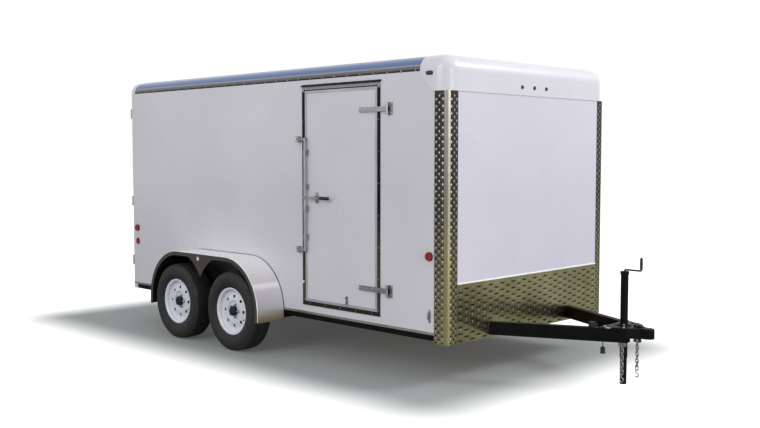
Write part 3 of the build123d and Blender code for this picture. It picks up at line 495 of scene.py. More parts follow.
seam_sealant = rubber_finish("seam_sealant", (0.24, 0.24, 0.25), (0.34, 0.34, 0.35))
seams = bmesh.new()
seam_top = roof_high[2]
seam_radius = 0.004
side_seam_gap = 0.01
end_seam_half = 0.95
for side in (1, -1):
    edge = side * roof_high[1]
    first = (roof_rear + side_seam_gap, edge, seam_top)
    last = (roof_front - side_seam_gap, edge, seam_top)
    bend_rod(seams, straight_path(first, last, 40), seam_radius, steps=8)
for ahead in (roof_rear, roof_front):
    path = straight_path((ahead, -end_seam_half, seam_top), (ahead, end_seam_half, seam_top), 20)
    bend_rod(seams, path, seam_radius, steps=8)
set_piece("roof_seams", seams, seam_sealant, "trailer")

# Corner posts and stone guard: bright tread plate, bent over the corners, with the raised
# bars of the pattern left off along the smooth round corner. Their colours are painted reflection.


def height_share(finish, low, high):
    """Height of the place being shaded, 0 at low and 1 at high."""
    tree = finish.node_tree
    share = tree.nodes.new("ShaderNodeMapRange")
    share.inputs["From Min"].default_value = low
    share.inputs["From Max"].default_value = high
    tree.links.new(part_of(tree, place_in(tree), "Z"), share.inputs["Value"])
    return share.outputs[0]


# Painted reflection: the plate's olive cast stands in for the ground that the bright plate mirrors.
plate_metal_painted_reflection = metal_finish("plate_metal_painted_reflection", (0.3, 0.275, 0.12), (0.46, 0.43, 0.23), 0.24, upright_grain)
dress(plate_metal_painted_reflection, "stone_guard")
post_metal_painted_reflection = metal_finish("post_metal_painted_reflection", (0.26, 0.235, 0.135), (0.42, 0.385, 0.25), 0.36, upright_grain)
# Painted reflection on the posts: the round corner is olive low down and lighter at the top, and the flat
# strips are olive low down and near black higher up.
post_rise = height_share(post_metal_painted_reflection, low=0.32, high=2.19)
round_painted_reflection = [(0.0, (0.3, 0.27, 0.13)), (0.35, (0.3, 0.27, 0.14))]
round_painted_reflection += [(0.55, (0.24, 0.215, 0.17)), (1.0, (0.36, 0.33, 0.3))]
flat_painted_reflection = [(0.0, (0.28, 0.25, 0.13)), (0.3, (0.19, 0.165, 0.1))]
flat_painted_reflection += [(0.55, (0.075, 0.062, 0.057)), (1.0, (0.055, 0.044, 0.047))]
round_reflection_tone = tint(post_metal_painted_reflection, post_rise, round_painted_reflection)
flat_reflection_tone = tint(post_metal_painted_reflection, post_rise, flat_painted_reflection)
side_reflection_tone = choose_tone(post_metal_painted_reflection, facing(post_metal_painted_reflection, "Y"), round_reflection_tone, flat_reflection_tone, 0.9)
choose_tone(post_metal_painted_reflection, facing(post_metal_painted_reflection, "X"), side_reflection_tone, flat_reflection_tone, 0.93)
dress(post_metal_painted_reflection, "corner_posts")
# Painted reflection: the flat bars are dark and the upright bars light, though both are the same metal.
flat_bar_painted_dark = metal_finish("flat_bar_painted_dark_metal", (0.02, 0.016, 0.018), (0.05, 0.04, 0.045), 0.35, all_ways)
upright_bar_painted_light = metal_finish("upright_bar_painted_light_metal", (0.34, 0.31, 0.23), (0.5, 0.46, 0.38), 0.26, all_ways)

row_pitch = 0.026
bar_share = 0.9
bar_width = 0.0125
bar_rise = 0.0013
bar_waist = 0.45
bar_top = 0.55


def raise_bar(shape, middle, along, aside, out):
    """One raised bar of the pattern: a low boat-shaped ridge."""
    waist = along * bar_waist
    low = [middle - along, middle - waist + aside, middle + waist + aside]
    low += [middle + along, middle + waist - aside, middle - waist - aside]
    foot = [shape.verts.new(point) for point in low]
    top = [shape.verts.new(middle + (point - middle) * bar_top + out * bar_rise) for point in low]
    bridge(shape, foot, top)
    shape.faces.new(top)


def raise_pattern(shape, corner, right, width, columns, height, out, upright, skip=None):
    """Fill a strip of plate with every second bar: the flat ones, or the upright ones between."""
    pitch = width / columns
    along = right * (bar_share * pitch / 2)
    aside = Vector((0, 0, bar_width / 2))
    if upright:
        along = Vector((0, 0, bar_share * row_pitch / 2))
        aside = right * (bar_width / 2)
    for row in range(int(height / row_pitch)):
        for column in range(columns):
            middle = corner + right * ((column + 0.5) * pitch) + Vector((0, 0, (row + 0.5) * row_pitch))
            if (row + column) % 2 == upright and not (skip and skip(middle)):
                raise_bar(shape, middle, along, aside, out)


tongue_foot = 0.535
tongue_slope = 0.475
notch_half = 0.066
notch_top = 0.46


def under_tongue(middle):
    """True where a bar would lie on a tongue tube's end or its notch."""
    return abs(abs(middle.y) - tongue_foot) < notch_half and middle.z < notch_top


guard_low, guard_high = box_of("stone_guard")
guard_width = guard_high[1] - guard_low[1]
guard_columns = 26
guard_bars_height = 0.425
guard_margin = 0.005
plate_face = guard_high[0]
plate_proud = plate_face - nose
post_low, post_high = box_of("corner_posts")
post_surface = surface_of("corner_posts")
post_margin = 0.003
bars_low = post_low[2] + post_margin
bars_height = post_high[2] - post_margin - bars_low
side_flat = 0.06
front_flat = 0.052
flat_columns = 2
round_strip = 0.024
round_turns = (15, 76)
bend_inset = 0.0605
bend_height = 0.5
outside_bend = 0.2
ahead_way = Vector((1, 0, 0))
left_way = Vector((0, 1, 0))
for upright, kind, bar_painted_reflection in ((0, "flat", flat_bar_painted_dark), (1, "upright", upright_bar_painted_light)):
    guard_bars = bmesh.new()
    corner = Vector((plate_face, guard_low[1], guard_low[2] + guard_margin))
    strip = (guard_width, guard_columns, guard_bars_height)
    raise_pattern(guard_bars, corner, left_way, *strip, ahead_way, upright, under_tongue)
    set_piece(f"guard_{kind}_bars", guard_bars, bar_painted_reflection, "trailer")
    for side, word in sides:
        post_bars = bmesh.new()
        side_way = left_way * side
        corner = Vector((post_low[0], side * (half + plate_proud), bars_low))
        strip = (side_flat, flat_columns, bars_height)
        raise_pattern(post_bars, corner, ahead_way, *strip, side_way, upright)
        corner = Vector((plate_face, side * (guard_high[1] + post_margin), bars_low))
        strip = (front_flat, flat_columns, bars_height)
        raise_pattern(post_bars, corner, side_way, *strip, ahead_way, upright)
        bend_middle = Vector((nose - bend_inset, side * (half - bend_inset), bend_height))
        for turned in round_turns:
            way = Vector((sin(radians(turned)), side * cos(radians(turned)), 0))
            foot = post_surface.ray_cast(bend_middle + way * outside_bend, -way)[0]
            right = Vector((way.y, -way.x, 0))
            corner = Vector((foot.x, foot.y, bars_low)) - right * (round_strip / 2)
            raise_pattern(post_bars, corner, right, round_strip, 1, bars_height, way, upright)
        set_piece(f"post_{kind}_bars_{word}", post_bars, bar_painted_reflection, "trailer")

# Plate rivets: small aluminium pop rivets that hold the tread plate down both edges of the
# corner posts and along the guard's top.
plate_rivets = bmesh.new()
guard_surface = surface_of("stone_guard")
ahead_of_all = 2.0
rear_way = Vector((-1, 0, 0))
guard_rivet = (0.0035, 0.0015)
guard_rivet_pitch = 0.1
guard_row_half = 0.9
post_rivet = (0.003, 0.0015)
post_rivet_pitch = 0.15
post_rivet_inset = 0.0025
post_row = (0.34, 2.17)
rivet_up = guard_high[2] - guard_margin
line = [(ahead_of_all, aside, rivet_up) for aside in (-guard_row_half, guard_row_half)]
fix_along(plate_rivets, guard_surface, *line, guard_rivet_pitch, rear_way, *guard_rivet)
for side in (1, -1):
    for ahead in (post_low[0] + post_rivet_inset, nose - bend_inset):
        line = [(ahead, height) for height in post_row]
        fix_on_side(plate_rivets, post_surface, side, *line, post_rivet_pitch, *post_rivet)
set_piece("plate_rivets", plate_rivets, screw_metal, "trailer")

# Guard cap: a bright rolled strip of aluminium that covers the upper edge of the stone guard,
# bonded to the front panel behind it.


def draw_strip(shape, *ends):
    """Solid strip between two equal sections, each a list of points."""
    first, last = [[shape.verts.new(point) for point in end] for end in ends]
    bridge(shape, first, last)
    shape.faces.new(first)
    shape.faces.new(last)


cap_strip_metal = metal_finish("cap_strip_metal", (0.85, 0.84, 0.82), (0.97, 0.96, 0.95), 0.3)
cap_strip_metal.node_tree.nodes["Principled BSDF"].inputs["Metallic"].default_value = 0.3
cap_strip = bmesh.new()
strip_half = 0.949
strip_section = [(0.0, 0.0005), (0.0045, 0.0005), (0.006, 0.004)]
strip_section += [(0.0045, 0.0095), (0.0015, 0.012), (0.0, 0.012)]
strip_ends = []
for aside in (-strip_half, strip_half):
    strip_ends.append([(nose + out, aside, guard_high[2] + rise) for out, rise in strip_section])
draw_strip(cap_strip, *strip_ends)
set_piece("guard_cap_strip", cap_strip, cap_strip_metal, "trailer")

# Nose cap: moulded fibreglass with a glossy gel coat, riveted along its lower edge and sealed
# to the roof and coves.
cap_gloss = skin_finish("cap_gloss", (0.68, 0.66, 0.72), (0.76, 0.74, 0.79))
dress(cap_gloss, "nose_cap")
cap_rivets = bmesh.new()
cap_surface = surface_of("nose_cap")
pan_head = (0.004, 0.0018)
cap_front_pitch = 0.12
cap_side_pitch = 0.08
cap_row_half = 0.93
cap_side_row = (nose - 0.25, nose - 0.09)
cap_row_inset = 0.014
rivet_up = box_of("nose_cap")[0][2] + cap_row_inset
line = [(ahead_of_all, aside, rivet_up) for aside in (-cap_row_half, cap_row_half)]
fix_along(cap_rivets, cap_surface, *line, cap_front_pitch, rear_way, *pan_head)
for side in (1, -1):
    line = [(ahead, rivet_up) for ahead in cap_side_row]
    fix_on_side(cap_rivets, cap_surface, side, *line, cap_side_pitch, *pan_head)
set_piece("cap_rivets", cap_rivets, cap_gloss, "trailer")

# Rear frame: a welded steel portal that the two rear doors close against, painted white with
# the box.
rear_paint = skin_finish("rear_paint", (0.62, 0.61, 0.65), (0.7, 0.68, 0.72))
dress(rear_paint, "rear_frame")

# Bright trim: extruded aluminium along the walls' lower edges and round the doors' edges, and
# the side door's frame, whose colour is a painted reflection of the ground and sky.
trim_metal = metal_finish("trim_metal", (0.45, 0.43, 0.4), (0.62, 0.6, 0.56), 0.2)
dress(trim_metal, "bottom_trims")
edge_trim_metal = metal_finish("edge_trim_metal", (0.4, 0.4, 0.44), (0.5, 0.5, 0.54), 0.35)
edge_trim_metal.node_tree.nodes["Principled BSDF"].inputs["Metallic"].default_value = 0.5
dress(edge_trim_metal, "side_door_trim", "rear_door_left_trim", "rear_door_right_trim")
frame_low, frame_high = box_of("side_door_frame")
frame_metal_painted_reflection = metal_finish("frame_metal_painted_reflection", (0.1, 0.095, 0.09), (0.2, 0.19, 0.17), 0.22, upright_grain)
painted_dark_reflection = (0.014, 0.012, 0.014)
painted_sky_reflection = (0.24, 0.24, 0.25)
# Painted reflection on the door frame: brown near the bottom, near black above, and a light line just
# under the top, in place of the ground and sky it would mirror.
frame_painted_reflection = [(0.0, (0.05, 0.04, 0.03)), (0.03, (0.12, 0.1, 0.06)), (0.3, (0.1, 0.085, 0.06))]
frame_painted_reflection += [(0.45, painted_dark_reflection), (0.975, painted_dark_reflection), (0.98, painted_sky_reflection)]
frame_painted_reflection += [(0.996, painted_sky_reflection), (1.0, (0.02, 0.02, 0.02))]
tint(frame_metal_painted_reflection, height_share(frame_metal_painted_reflection, frame_low[2], frame_high[2]), frame_painted_reflection)
dress(frame_metal_painted_reflection, "side_door_frame")

# Trim screws: small plated pan heads at even steps along the bottom trims and round the side
# door's frame.
trim_screws = bmesh.new()
trim_surface = surface_of("bottom_trims")
trim_up = middle_of("bottom_trims")[2]
trim_pitch = 0.2
behind_wheels = (rear + 0.05, rear + 0.73)
ahead_of_wheels = (nose - 1.8, nose - 0.17)
for side in (1, -1):
    for row in (behind_wheels, ahead_of_wheels):
        line = [(ahead, trim_up) for ahead in row]
        fix_on_side(trim_screws, trim_surface, side, *line, trim_pitch, *pan_head)
frame_surface = surface_of("side_door_frame")
jamb_row = (0.5, 2.25)
jamb_pitch = 0.25
for ahead in (frame_low[0] + 0.014, frame_high[0] - 0.015):
    line = [(ahead, height) for height in jamb_row]
    fix_on_side(trim_screws, frame_surface, -1, *line, jamb_pitch, *pan_head)
sill_row = (nose - 1.5, nose - 0.77)
sill_pitch = 0.18
sill_inset = 0.0165
for height in (frame_low[2] + sill_inset, frame_high[2] - sill_inset):
    line = [(ahead, height) for ahead in sill_row]
    fix_on_side(trim_screws, frame_surface, -1, *line, sill_pitch, *pan_head)
set_piece("trim_screws", trim_screws, screw_metal, "trailer")

# Hinges, lock bars and keepers: pressed and forged steel, zinc plated, with the duller look
# that the plating takes outdoors.
zinc = metal_finish("zinc", (0.24, 0.24, 0.25), (0.42, 0.41, 0.42), 0.34, upright_grain)
dress(zinc, "side_hinge_leaves", "side_door_straps", "side_door_lock", "keepers")
dress(zinc, "rear_hinge_leaves", "rear_door_left_straps", "rear_door_right_straps")
dress(zinc, "rear_door_left_lock", "rear_door_right_lock")

# Door seals: black rubber bulbs pressed into the gaps round the doors, held by the frames, and
# a pair of lips between the rear doors that ride on the right one.
seal_rubber = rubber_finish("seal_rubber", (0.008, 0.008, 0.008), (0.02, 0.02, 0.02))


def right_side(ahead, up, out):
    """Point on the right wall: ahead is along the trailer, out is away from the skin."""
    return Vector((ahead, -half - out, up))


def rear_side(aside, up, out):
    """Point on the rear face, out away from it."""
    return Vector((rear - out, aside, up))


def run_strip(shape, put, low, high, profile):
    """Strip with a drawn section run round a rectangle; profile is (inset, out) pairs."""
    loops = []
    for inset, out in profile:
        left, right = low[0] + inset, high[0] - inset
        bottom, top = low[1] + inset, high[1] - inset
        corners = ((left, bottom), (right, bottom), (right, top), (left, top))
        loops.append([shape.verts.new(put(first, second, out)) for first, second in corners])
    for first, second in zip(loops, loops[1:] + loops[:1]):
        bridge(shape, first, second)


def seal_bulb(middle, radius, depth):
    """Oval section of a seal, centred in its gap."""
    return [(middle + radius * cos(angle), depth + radius * 1.6 * sin(angle)) for angle in around(8)]


door_low, door_high = box_of("side_door_panel")
door_corners = ((door_low[0], door_low[2]), (door_high[0], door_high[2]))
seal = bmesh.new()
side_bulb = seal_bulb(middle=-0.0048, radius=0.0028, depth=-0.006)
run_strip(seal, right_side, *door_corners, side_bulb)
set_piece("side_door_seal", seal, seal_rubber, "trailer")
left_low, left_high = box_of("rear_door_left_panel")
doors_corners = ((-left_high[1], left_low[2]), (left_high[1], left_high[2]))
seal = bmesh.new()
rear_bulb = seal_bulb(middle=-0.0045, radius=0.003, depth=-0.007)
run_strip(seal, rear_side, *doors_corners, rear_bulb)
set_piece("rear_door_seal", seal, seal_rubber, "trailer")
seal = bmesh.new()
lip_section = [(0, -0.03), (0, -0.005), (0.0014, -0.0035), (0.0014, -0.03)]
lip_low = left_low[2] + 0.003
lip_high = left_high[2] - 0.003
for first, last in ((-0.0042, -0.0008), (0.0008, 0.0042)):
    run_strip(seal, rear_side, (first, lip_low), (last, lip_high), lip_section)
set_piece("rear_middle_seal", seal, seal_rubber, "rear_door_right")

# Side door fittings: carriage bolts through the hinges, the keepers and the bar's clamps, a
# hasp behind the handle, and a hold-back on the door with its hook on the wall. Zinc plated.


def solids_of(name):
    """Low and high corners of each separate solid of a CAD node."""
    shape = bmesh.new()
    shape.from_mesh(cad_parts[name].data)
    bmesh.ops.remove_doubles(shape, verts=shape.verts, dist=0.00002)
    waiting = set(shape.verts)
    boxes = []
    for seed in shape.verts:
        if seed not in waiting:
            continue
        waiting.remove(seed)
        group = [seed]
        for vert in group:
            for link in vert.link_edges:
                other = link.other_vert(vert)
                if other in waiting:
                    waiting.remove(other)
                    group.append(other)
        low = Vector([min(vert.co[axis] for vert in group) for axis in range(3)])
        boxes.append((low, Vector([max(vert.co[axis] for vert in group) for axis in range(3)])))
    shape.free()
    return boxes


def soft_block(shape, low, high, edge):
    """Block between two corners with rounded edges."""
    made = bmesh.ops.create_cube(shape, size=1.0)["verts"]
    for vert in made:
        for axis in range(3):
            vert.co[axis] = low[axis] if vert.co[axis] < 0 else high[axis]
    edges = list({link for vert in made for link in vert.link_edges})
    bmesh.ops.bevel(shape, geom=edges, offset=edge, segments=2, affect="EDGES", profile=0.6)


def side_block(shape, ahead, out, up, edge):
    """Rounded block on the right wall, each size given as its low and high place."""
    low = (nose + ahead[0], -half - out[1], up[0])
    soft_block(shape, low, (nose + ahead[1], -half - out[0], up[1]), edge)


right_way = Vector((0, -1, 0))
keeper_bolt = (0.006, 0.003)
clamp_bolt = (0.0045, 0.003)
clamp_half = 0.0155
side_bar = nose - 1.535
leaf_face = 0.004
strap_face = 0.0165
bar_face = 0.032
wall_fittings = bmesh.new()
door_fittings = bmesh.new()
for low, high in solids_of("side_hinge_leaves"):
    height = (low.z + high.z) / 2
    for rise in (-0.034, 0.034):
        bolt_head(wall_fittings, right_side(nose - 0.559, height + rise, leaf_face), right_way)
    for back in (0.75, 0.82, 0.885):
        bolt_head(door_fittings, right_side(nose - back, height, strap_face), right_way)
for low, high in solids_of("keepers"):
    if low.x < wheel_mid:
        continue
    middle = (low + high) / 2
    for shift in (-0.008, 0.008):
        foot = right_side(middle.x + shift, middle.z, leaf_face)
        bolt_head(wall_fittings, foot, right_way, *keeper_bolt)
for height in (1.035, 1.277, 1.457, 1.745):
    for shift in (-clamp_half, clamp_half):
        foot = right_side(side_bar + shift, height, bar_face)
        bolt_head(door_fittings, foot, right_way, *clamp_bolt)
for ahead, out, up, edge in (
    ((-0.176, -0.156), (0.0, 0.004), (0.473, 0.57), 0.0012),
    ((-0.172, -0.16), (0.003, 0.02), (0.545, 0.556), 0.002),
    ((-0.172, -0.16), (0.018, 0.024), (0.5, 0.556), 0.002),
):
    side_block(wall_fittings, ahead, out, up, edge)
set_piece("side_wall_fittings", wall_fittings, zinc, "trailer")
for ahead, out, up, edge in (
    ((-1.066, -1.044), (0.0002, 0.008), (0.512, 0.58), 0.0015),
    ((-1.06, -1.05), (0.006, 0.02), (0.56, 0.576), 0.002),
    ((-1.429, -1.391), (0.0002, 0.006), (1.322, 1.412), 0.0015),
    ((-1.425, -1.395), (0.004, 0.045), (1.379, 1.385), 0.0015),
    ((-1.425, -1.395), (0.004, 0.045), (1.349, 1.355), 0.0015),
):
    side_block(door_fittings, ahead, out, up, edge)
set_piece("side_door_fittings", door_fittings, zinc, "side_door")

# Handle grip and door bumper: a ribbed black sleeve moulded on the lock's handle, and a white
# rubber button screwed to the rear side of the door's frame.
black_grip = rubber_finish("black_grip", (0.006, 0.006, 0.007), (0.018, 0.018, 0.019))
white_rubber = rubber_finish("white_rubber", (0.7, 0.7, 0.7), (0.85, 0.85, 0.85))
grip = bmesh.new()
grip_profile = [(0.0, 0.0), (0.0, 0.009), (0.004, 0.0125)]
for rib in range(8):
    start = 0.01 + rib * 0.011
    grip_profile += [(start, 0.0125), (start + 0.002, 0.0136)]
    grip_profile += [(start + 0.007, 0.0136), (start + 0.009, 0.0125)]
grip_profile += [(0.101, 0.0135), (0.106, 0.011), (0.106, 0.0)]
turn(grip, right_side(nose - 1.3345, 1.367, 0.046), ahead_way, grip_profile, 20)
set_piece("side_handle_grip", grip, black_grip, "side_door")
bumper = bmesh.new()
bumper_profile = [(0, 0), (0, 0.011), (0.006, 0.0115), (0.011, 0.009), (0.013, 0.004), (0.013, 0)]
turn(bumper, right_side(nose - 1.579, 0.651, 0.006), right_way, bumper_profile, 20)
set_piece("door_bumper", bumper, white_rubber, "trailer")

# Drip rail: a bent aluminium strip, sealed and screwed over the side door's frame so that
# rain from the wall runs off past the door.
drip = bmesh.new()
drip_section = [(0.0, 0.0045), (0.016, 0.0015), (0.018, 0.006), (0.016, 0.0085)]
drip_section += [(0.002, 0.0105), (0.002, 0.018), (0.0, 0.018)]
drip_ends = []
for ahead in (frame_low[0] - 0.01, frame_high[0] + 0.01):
    drip_ends.append([right_side(ahead, frame_high[2] + rise, out) for out, rise in drip_section])
draw_strip(drip, *drip_ends)
# The drip rail shares the frame's finish, so it takes the near black top of that painted reflection.
set_piece("door_drip_rail", drip, frame_metal_painted_reflection, "trailer")

# Rear door bolts: carriage bolts through the three strap hinges of each door, and smaller ones
# through the clamps that hold its lock bar. They ride on their door.
rear_bar = 0.13
rear_heights = [(low.z + high.z) / 2 for low, high in solids_of("rear_door_left_straps")]
for side, word in sides:
    rear_bolts = bmesh.new()
    for height in rear_heights:
        for aside in (0.95, 0.87, 0.79):
            bolt_head(rear_bolts, rear_side(side * aside, height, strap_face), rear_way)
    for height in (0.579, 1.07, 1.25, 2.21):
        for shift in (-clamp_half, clamp_half):
            foot = rear_side(side * rear_bar + shift, height, bar_face)
            bolt_head(rear_bolts, foot, rear_way, *clamp_bolt)
    set_piece(f"rear_{word}_bolts", rear_bolts, zinc, f"rear_door_{word}")

# Fenders: one bent sheet of polished aluminium over both wheels, welded along its lip, with a
# painted reflection on the outside and painted shade on the inside, and sealed to the wall by a
# thin black bead.
fender_low, fender_high = box_of("fender_left")
# Painted reflection: the sheet is banded by height, olive brown low down, a white highlight line above
# the middle and pale at the top, and the upright web is near black.
fender_painted_reflection = [(0.0, (0.2, 0.17, 0.12)), (0.08, (0.34, 0.29, 0.2)), (0.14, (0.5, 0.45, 0.36))]
fender_painted_reflection += [(0.2, (0.62, 0.59, 0.62)), (0.5, (0.7, 0.66, 0.74)), (0.58, (1.0, 0.98, 0.98))]
fender_painted_reflection += [(0.64, (0.72, 0.68, 0.7)), (1.0, (0.97, 0.94, 0.96))]
web_painted_reflection = [(0.3, (0.05, 0.042, 0.034)), (0.7, (0.075, 0.063, 0.05))]
bolt_stops = [(0.3, (0.7, 0.68, 0.66)), (0.7, (0.9, 0.88, 0.86))]
inner_shade_stops = [(0.3, (0.012, 0.011, 0.01)), (0.7, (0.035, 0.031, 0.028))]
bolt_radius = 0.019
bead_line = half + 0.004
lip_line = fender_high[1] - 0.0045
rod_radius = 0.0035
rod_points = 61
first_angle = -8
last_angle = 188
arch_middle = 0.42
beyond_arch = 1.4
for side, word in sides:
    fender_metal = metal_finish(f"fender_metal_{word}", (0.6, 0.58, 0.6), (0.85, 0.83, 0.86), 0.27)
    tree = fender_metal.node_tree
    shader = tree.nodes["Principled BSDF"]
    shader.inputs["Metallic"].default_value = 0.2
    fender_rise = height_share(fender_metal, fender_low[2], fender_high[2])
    sheet_reflection_tone = tint(fender_metal, fender_rise, fender_painted_reflection)
    painted_reflection_tone = tint(fender_metal, cloud(fender_metal, 6.0), web_painted_reflection)
    painted_reflection_tone = choose_tone(fender_metal, facing(fender_metal, "Y"), sheet_reflection_tone, painted_reflection_tone, 0.8)
    bolt_tone = tint(fender_metal, cloud(fender_metal, 90.0), bolt_stops)
    bolt_place = (nose - 2.7, side * fender_high[1], 0.782)
    from_bolt = vector_step(tree, "DISTANCE", place_in(tree), bolt_place)
    choose_tone(fender_metal, from_bolt, bolt_tone, painted_reflection_tone, bolt_radius)
    # Painted shade: faces turned in towards the wheels show a near black shader in place of the shade
    # under the fender.
    inner_shade = tree.nodes.new("ShaderNodeBsdfPrincipled")
    inner_shade.name = "inner_shade"
    inner_shade.inputs["Specular IOR Level"].default_value = 0.08
    tint(fender_metal, cloud(fender_metal, 9.0), inner_shade_stops, "inner_shade")
    dull(fender_metal, cloud(fender_metal, 30.0), 0.7, 0.9, "inner_shade")
    between_wheels = (wheel_mid, side * 1.2, axle_z)
    from_middle = vector_step(tree, "SUBTRACT", place_in(tree), between_wheels)
    normal = tree.nodes.new("ShaderNodeNewGeometry").outputs["Normal"]
    outward = vector_step(tree, "DOT_PRODUCT", normal, from_middle)
    cover(tree, number_step(tree, "LESS_THAN", outward, 0.0), shader, inner_shade)
    dress(fender_metal, f"fender_{word}")
    fender_surface = surface_of(f"fender_{word}")
    bead = bmesh.new()
    lip = bmesh.new()
    for shape, line in ((bead, bead_line), (lip, lip_line)):
        path = []
        for step in range(rod_points):
            angle = radians(first_angle + (last_angle - first_angle) * step / (rod_points - 1))
            way = Vector((cos(angle), 0, sin(angle)))
            start = Vector((wheel_mid, side * line, arch_middle)) + way * beyond_arch
            foot = fender_surface.ray_cast(start, -way)[0]
            if foot is not None:
                path.append(foot)
        bend_rod(shape, path, rod_radius, steps=8)
    set_piece(f"fender_bead_{word}", bead, seal_rubber, "trailer")
    set_piece(f"fender_edge_{word}", lip, cap_strip_metal, "trailer")

# Tyres and wheels: bias-ply trailer tyres with ribbed tread and raised bands on their walls,
# on pressed steel wheels, sprayed white and held by five nuts on a painted hub.
tyre_rubber = rubber_finish("tyre_rubber", (0.007, 0.006, 0.007), (0.018, 0.016, 0.017))
wheel_white = skin_finish("wheel_white", (0.72, 0.72, 0.8), (0.8, 0.8, 0.87))
hub_paint = paint_finish("hub_paint", (0.012, 0.014, 0.018), (0.03, 0.035, 0.045), 0.4)
tread_radius = 0.3505
groove_radius = 0.3435
tread_half = 0.0815
tread_crown = 0.006
groove_slant = 0.0008
wall_top = (0.0935, 0.327)
wall_bulge = (0.1072, 0.268)
wall_foot = (0.0782, 0.2115)
bead_radius = 0.201
bead_toe = (0.0715, 0.1925)
wall_points = 22
band_points = (4, 5, 12, 13)
band_rise = 0.0008
wall_drop = 0.0006
pitches = 62
shoulder_cut = 0.006
rib_cut = 0.003


def arc_through(first, middle, last, count):
    """Points along the arc through three points, both ends included."""
    start, middle, end = Vector(first), Vector(middle), Vector(last)
    to_middle = middle - start
    to_end = end - start
    lean = to_middle.length_squared * to_end - to_end.length_squared * to_middle
    centre = start + Vector((lean.y, -lean.x)) / (2 * to_middle.cross(to_end))
    arm = start - centre
    sweep = arm.angle_signed(middle - centre) + (middle - centre).angle_signed(end - centre)
    points = []
    for step in range(count):
        angle = -sweep * step / (count - 1)
        across = Vector((-arm.y, arm.x))
        points.append(tuple(centre + arm * cos(angle) + across * sin(angle)))
    return points


def tyre_section():
    """Half of the tyre's section, from the tread's middle out to the bead: (out, radius, kind)."""
    tread = []
    for low, high, kind in ((0.0, 0.019, "rib"), (0.026, 0.048, "rib"), (0.055, tread_half, "shoulder")):
        if tread:
            tread.append((tread[-1][0] + groove_slant, groove_radius, "groove"))
            tread.append((low - groove_slant, groove_radius, "groove"))
        for out in (low, high):
            tread.append((out, tread_radius - tread_crown * (out / tread_half) ** 2, kind))
    wall = []
    for index, (out, radius) in enumerate(arc_through(wall_top, wall_bulge, wall_foot, wall_points)):
        wall.append((out + (band_rise if index in band_points else -wall_drop), radius, "wall"))
    return tread + wall + [(wall_foot[0], bead_radius, "wall"), (*bead_toe, "wall")]


def tyre_shape(hub, side):
    """Whole tyre: the section turned round the hub, with notches cut in both shoulders."""
    shape = bmesh.new()
    half_section = tyre_section()
    section = [(-out, radius, kind) for out, radius, kind in reversed(half_section[1:])] + half_section
    rings = []
    for pitch in range(pitches):
        cuts = {"shoulder": shoulder_cut, "rib": rib_cut if pitch % 2 else 0.0}
        for share, deep in ((0.0, False), (0.04, True), (0.17, True), (0.21, False)):
            angle = 2 * pi * (pitch + share) / pitches
            ring = []
            for out, radius, kind in section:
                reach = radius - (cuts.get(kind, 0.0) if deep else 0.0)
                offset = Vector((reach * sin(angle), side * out, reach * cos(angle)))
                ring.append(shape.verts.new(hub + offset))
            rings.append(ring)
    for ring, after in zip(rings, rings[1:] + rings[:1]):
        bridge(shape, ring, after)
    return shape


nut_profile = [(0.0, 0.0), (0.0, 0.0125), (0.002, 0.0125), (0.002, 0.0105)]
nut_profile += [(0.014, 0.0105), (0.017, 0.007), (0.017, 0.0)]
stud_profile = [(0.016, 0.0), (0.016, 0.006), (0.024, 0.006), (0.025, 0.005), (0.025, 0.0)]
stem_profile = [(-0.001, 0.0), (-0.001, 0.0075), (0.003, 0.0075), (0.007, 0.004), (0.018, 0.0036)]
stem_profile += [(0.018, 0.0045), (0.027, 0.0045), (0.029, 0.0035), (0.029, 0.0)]
nut_circle = 0.05715
nut_turn = 0.3
nut_face = 0.0421
stem_reach = 0.166
stem_angle = radians(112.5)
for end in ("front", "rear"):
    for side, word in sides:
        wheel = f"{end}_{word}"
        hub = Vector(middle_of(f"wheel_{wheel}"))
        body = f"{wheel}_wheel"
        out_way = left_way * side
        tyre = set_piece(f"tread_{wheel}", tyre_shape(hub, side), tyre_rubber, body)
        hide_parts(f"tyre_{wheel}")
        dress(wheel_white, f"wheel_{wheel}")
        dress(hub_paint, f"hub_{wheel}")
        nuts = bmesh.new()
        for angle in around(5):
            way = Vector((sin(angle + nut_turn), 0, cos(angle + nut_turn)))
            place = hub + way * nut_circle + out_way * nut_face
            turn(nuts, place, out_way, nut_profile, 6)
            turn(nuts, place, out_way, stud_profile, 12)
        set_piece(f"nuts_{wheel}", nuts, zinc, body)
        stem = bmesh.new()
        stem_way = Vector((sin(stem_angle), 0, cos(stem_angle)))
        outside = hub + stem_way * stem_reach + out_way * 0.3
        foot = surface_of(f"wheel_{wheel}").ray_cast(outside, -out_way)[0]
        turn(stem, foot, out_way, stem_profile, 14)
        set_piece(f"valve_{wheel}", stem, black_grip, body)

# Lamps: round red markers on the walls, small dark amber lenses in the cap and red ones on the
# rear. Each is a moulded plastic lens in a black rubber bezel.
red_lens = start_finish("red_lens", (0.32, 0.006, 0.012), 0.16)
tint(red_lens, cloud(red_lens, 60.0), [(0.3, (0.2, 0.004, 0.01)), (0.7, (0.4, 0.01, 0.02))])
emboss(red_lens, cloud(red_lens, 240.0, 1.0), 0.3, 0.001)
dress(red_lens, "side_lamps", "tail_lamps")
amber_lens = start_finish("amber_lens", (0.03, 0.014, 0.01), 0.2)
tint(amber_lens, cloud(amber_lens, 60.0), [(0.3, (0.014, 0.008, 0.007)), (0.7, (0.04, 0.016, 0.01))])
emboss(amber_lens, cloud(amber_lens, 240.0, 1.0), 0.3, 0.001)
dress(amber_lens, "cap_lamps")
bezel_black = rubber_finish("bezel_black", (0.01, 0.01, 0.011), (0.022, 0.022, 0.023))
bezel_width = 0.0035


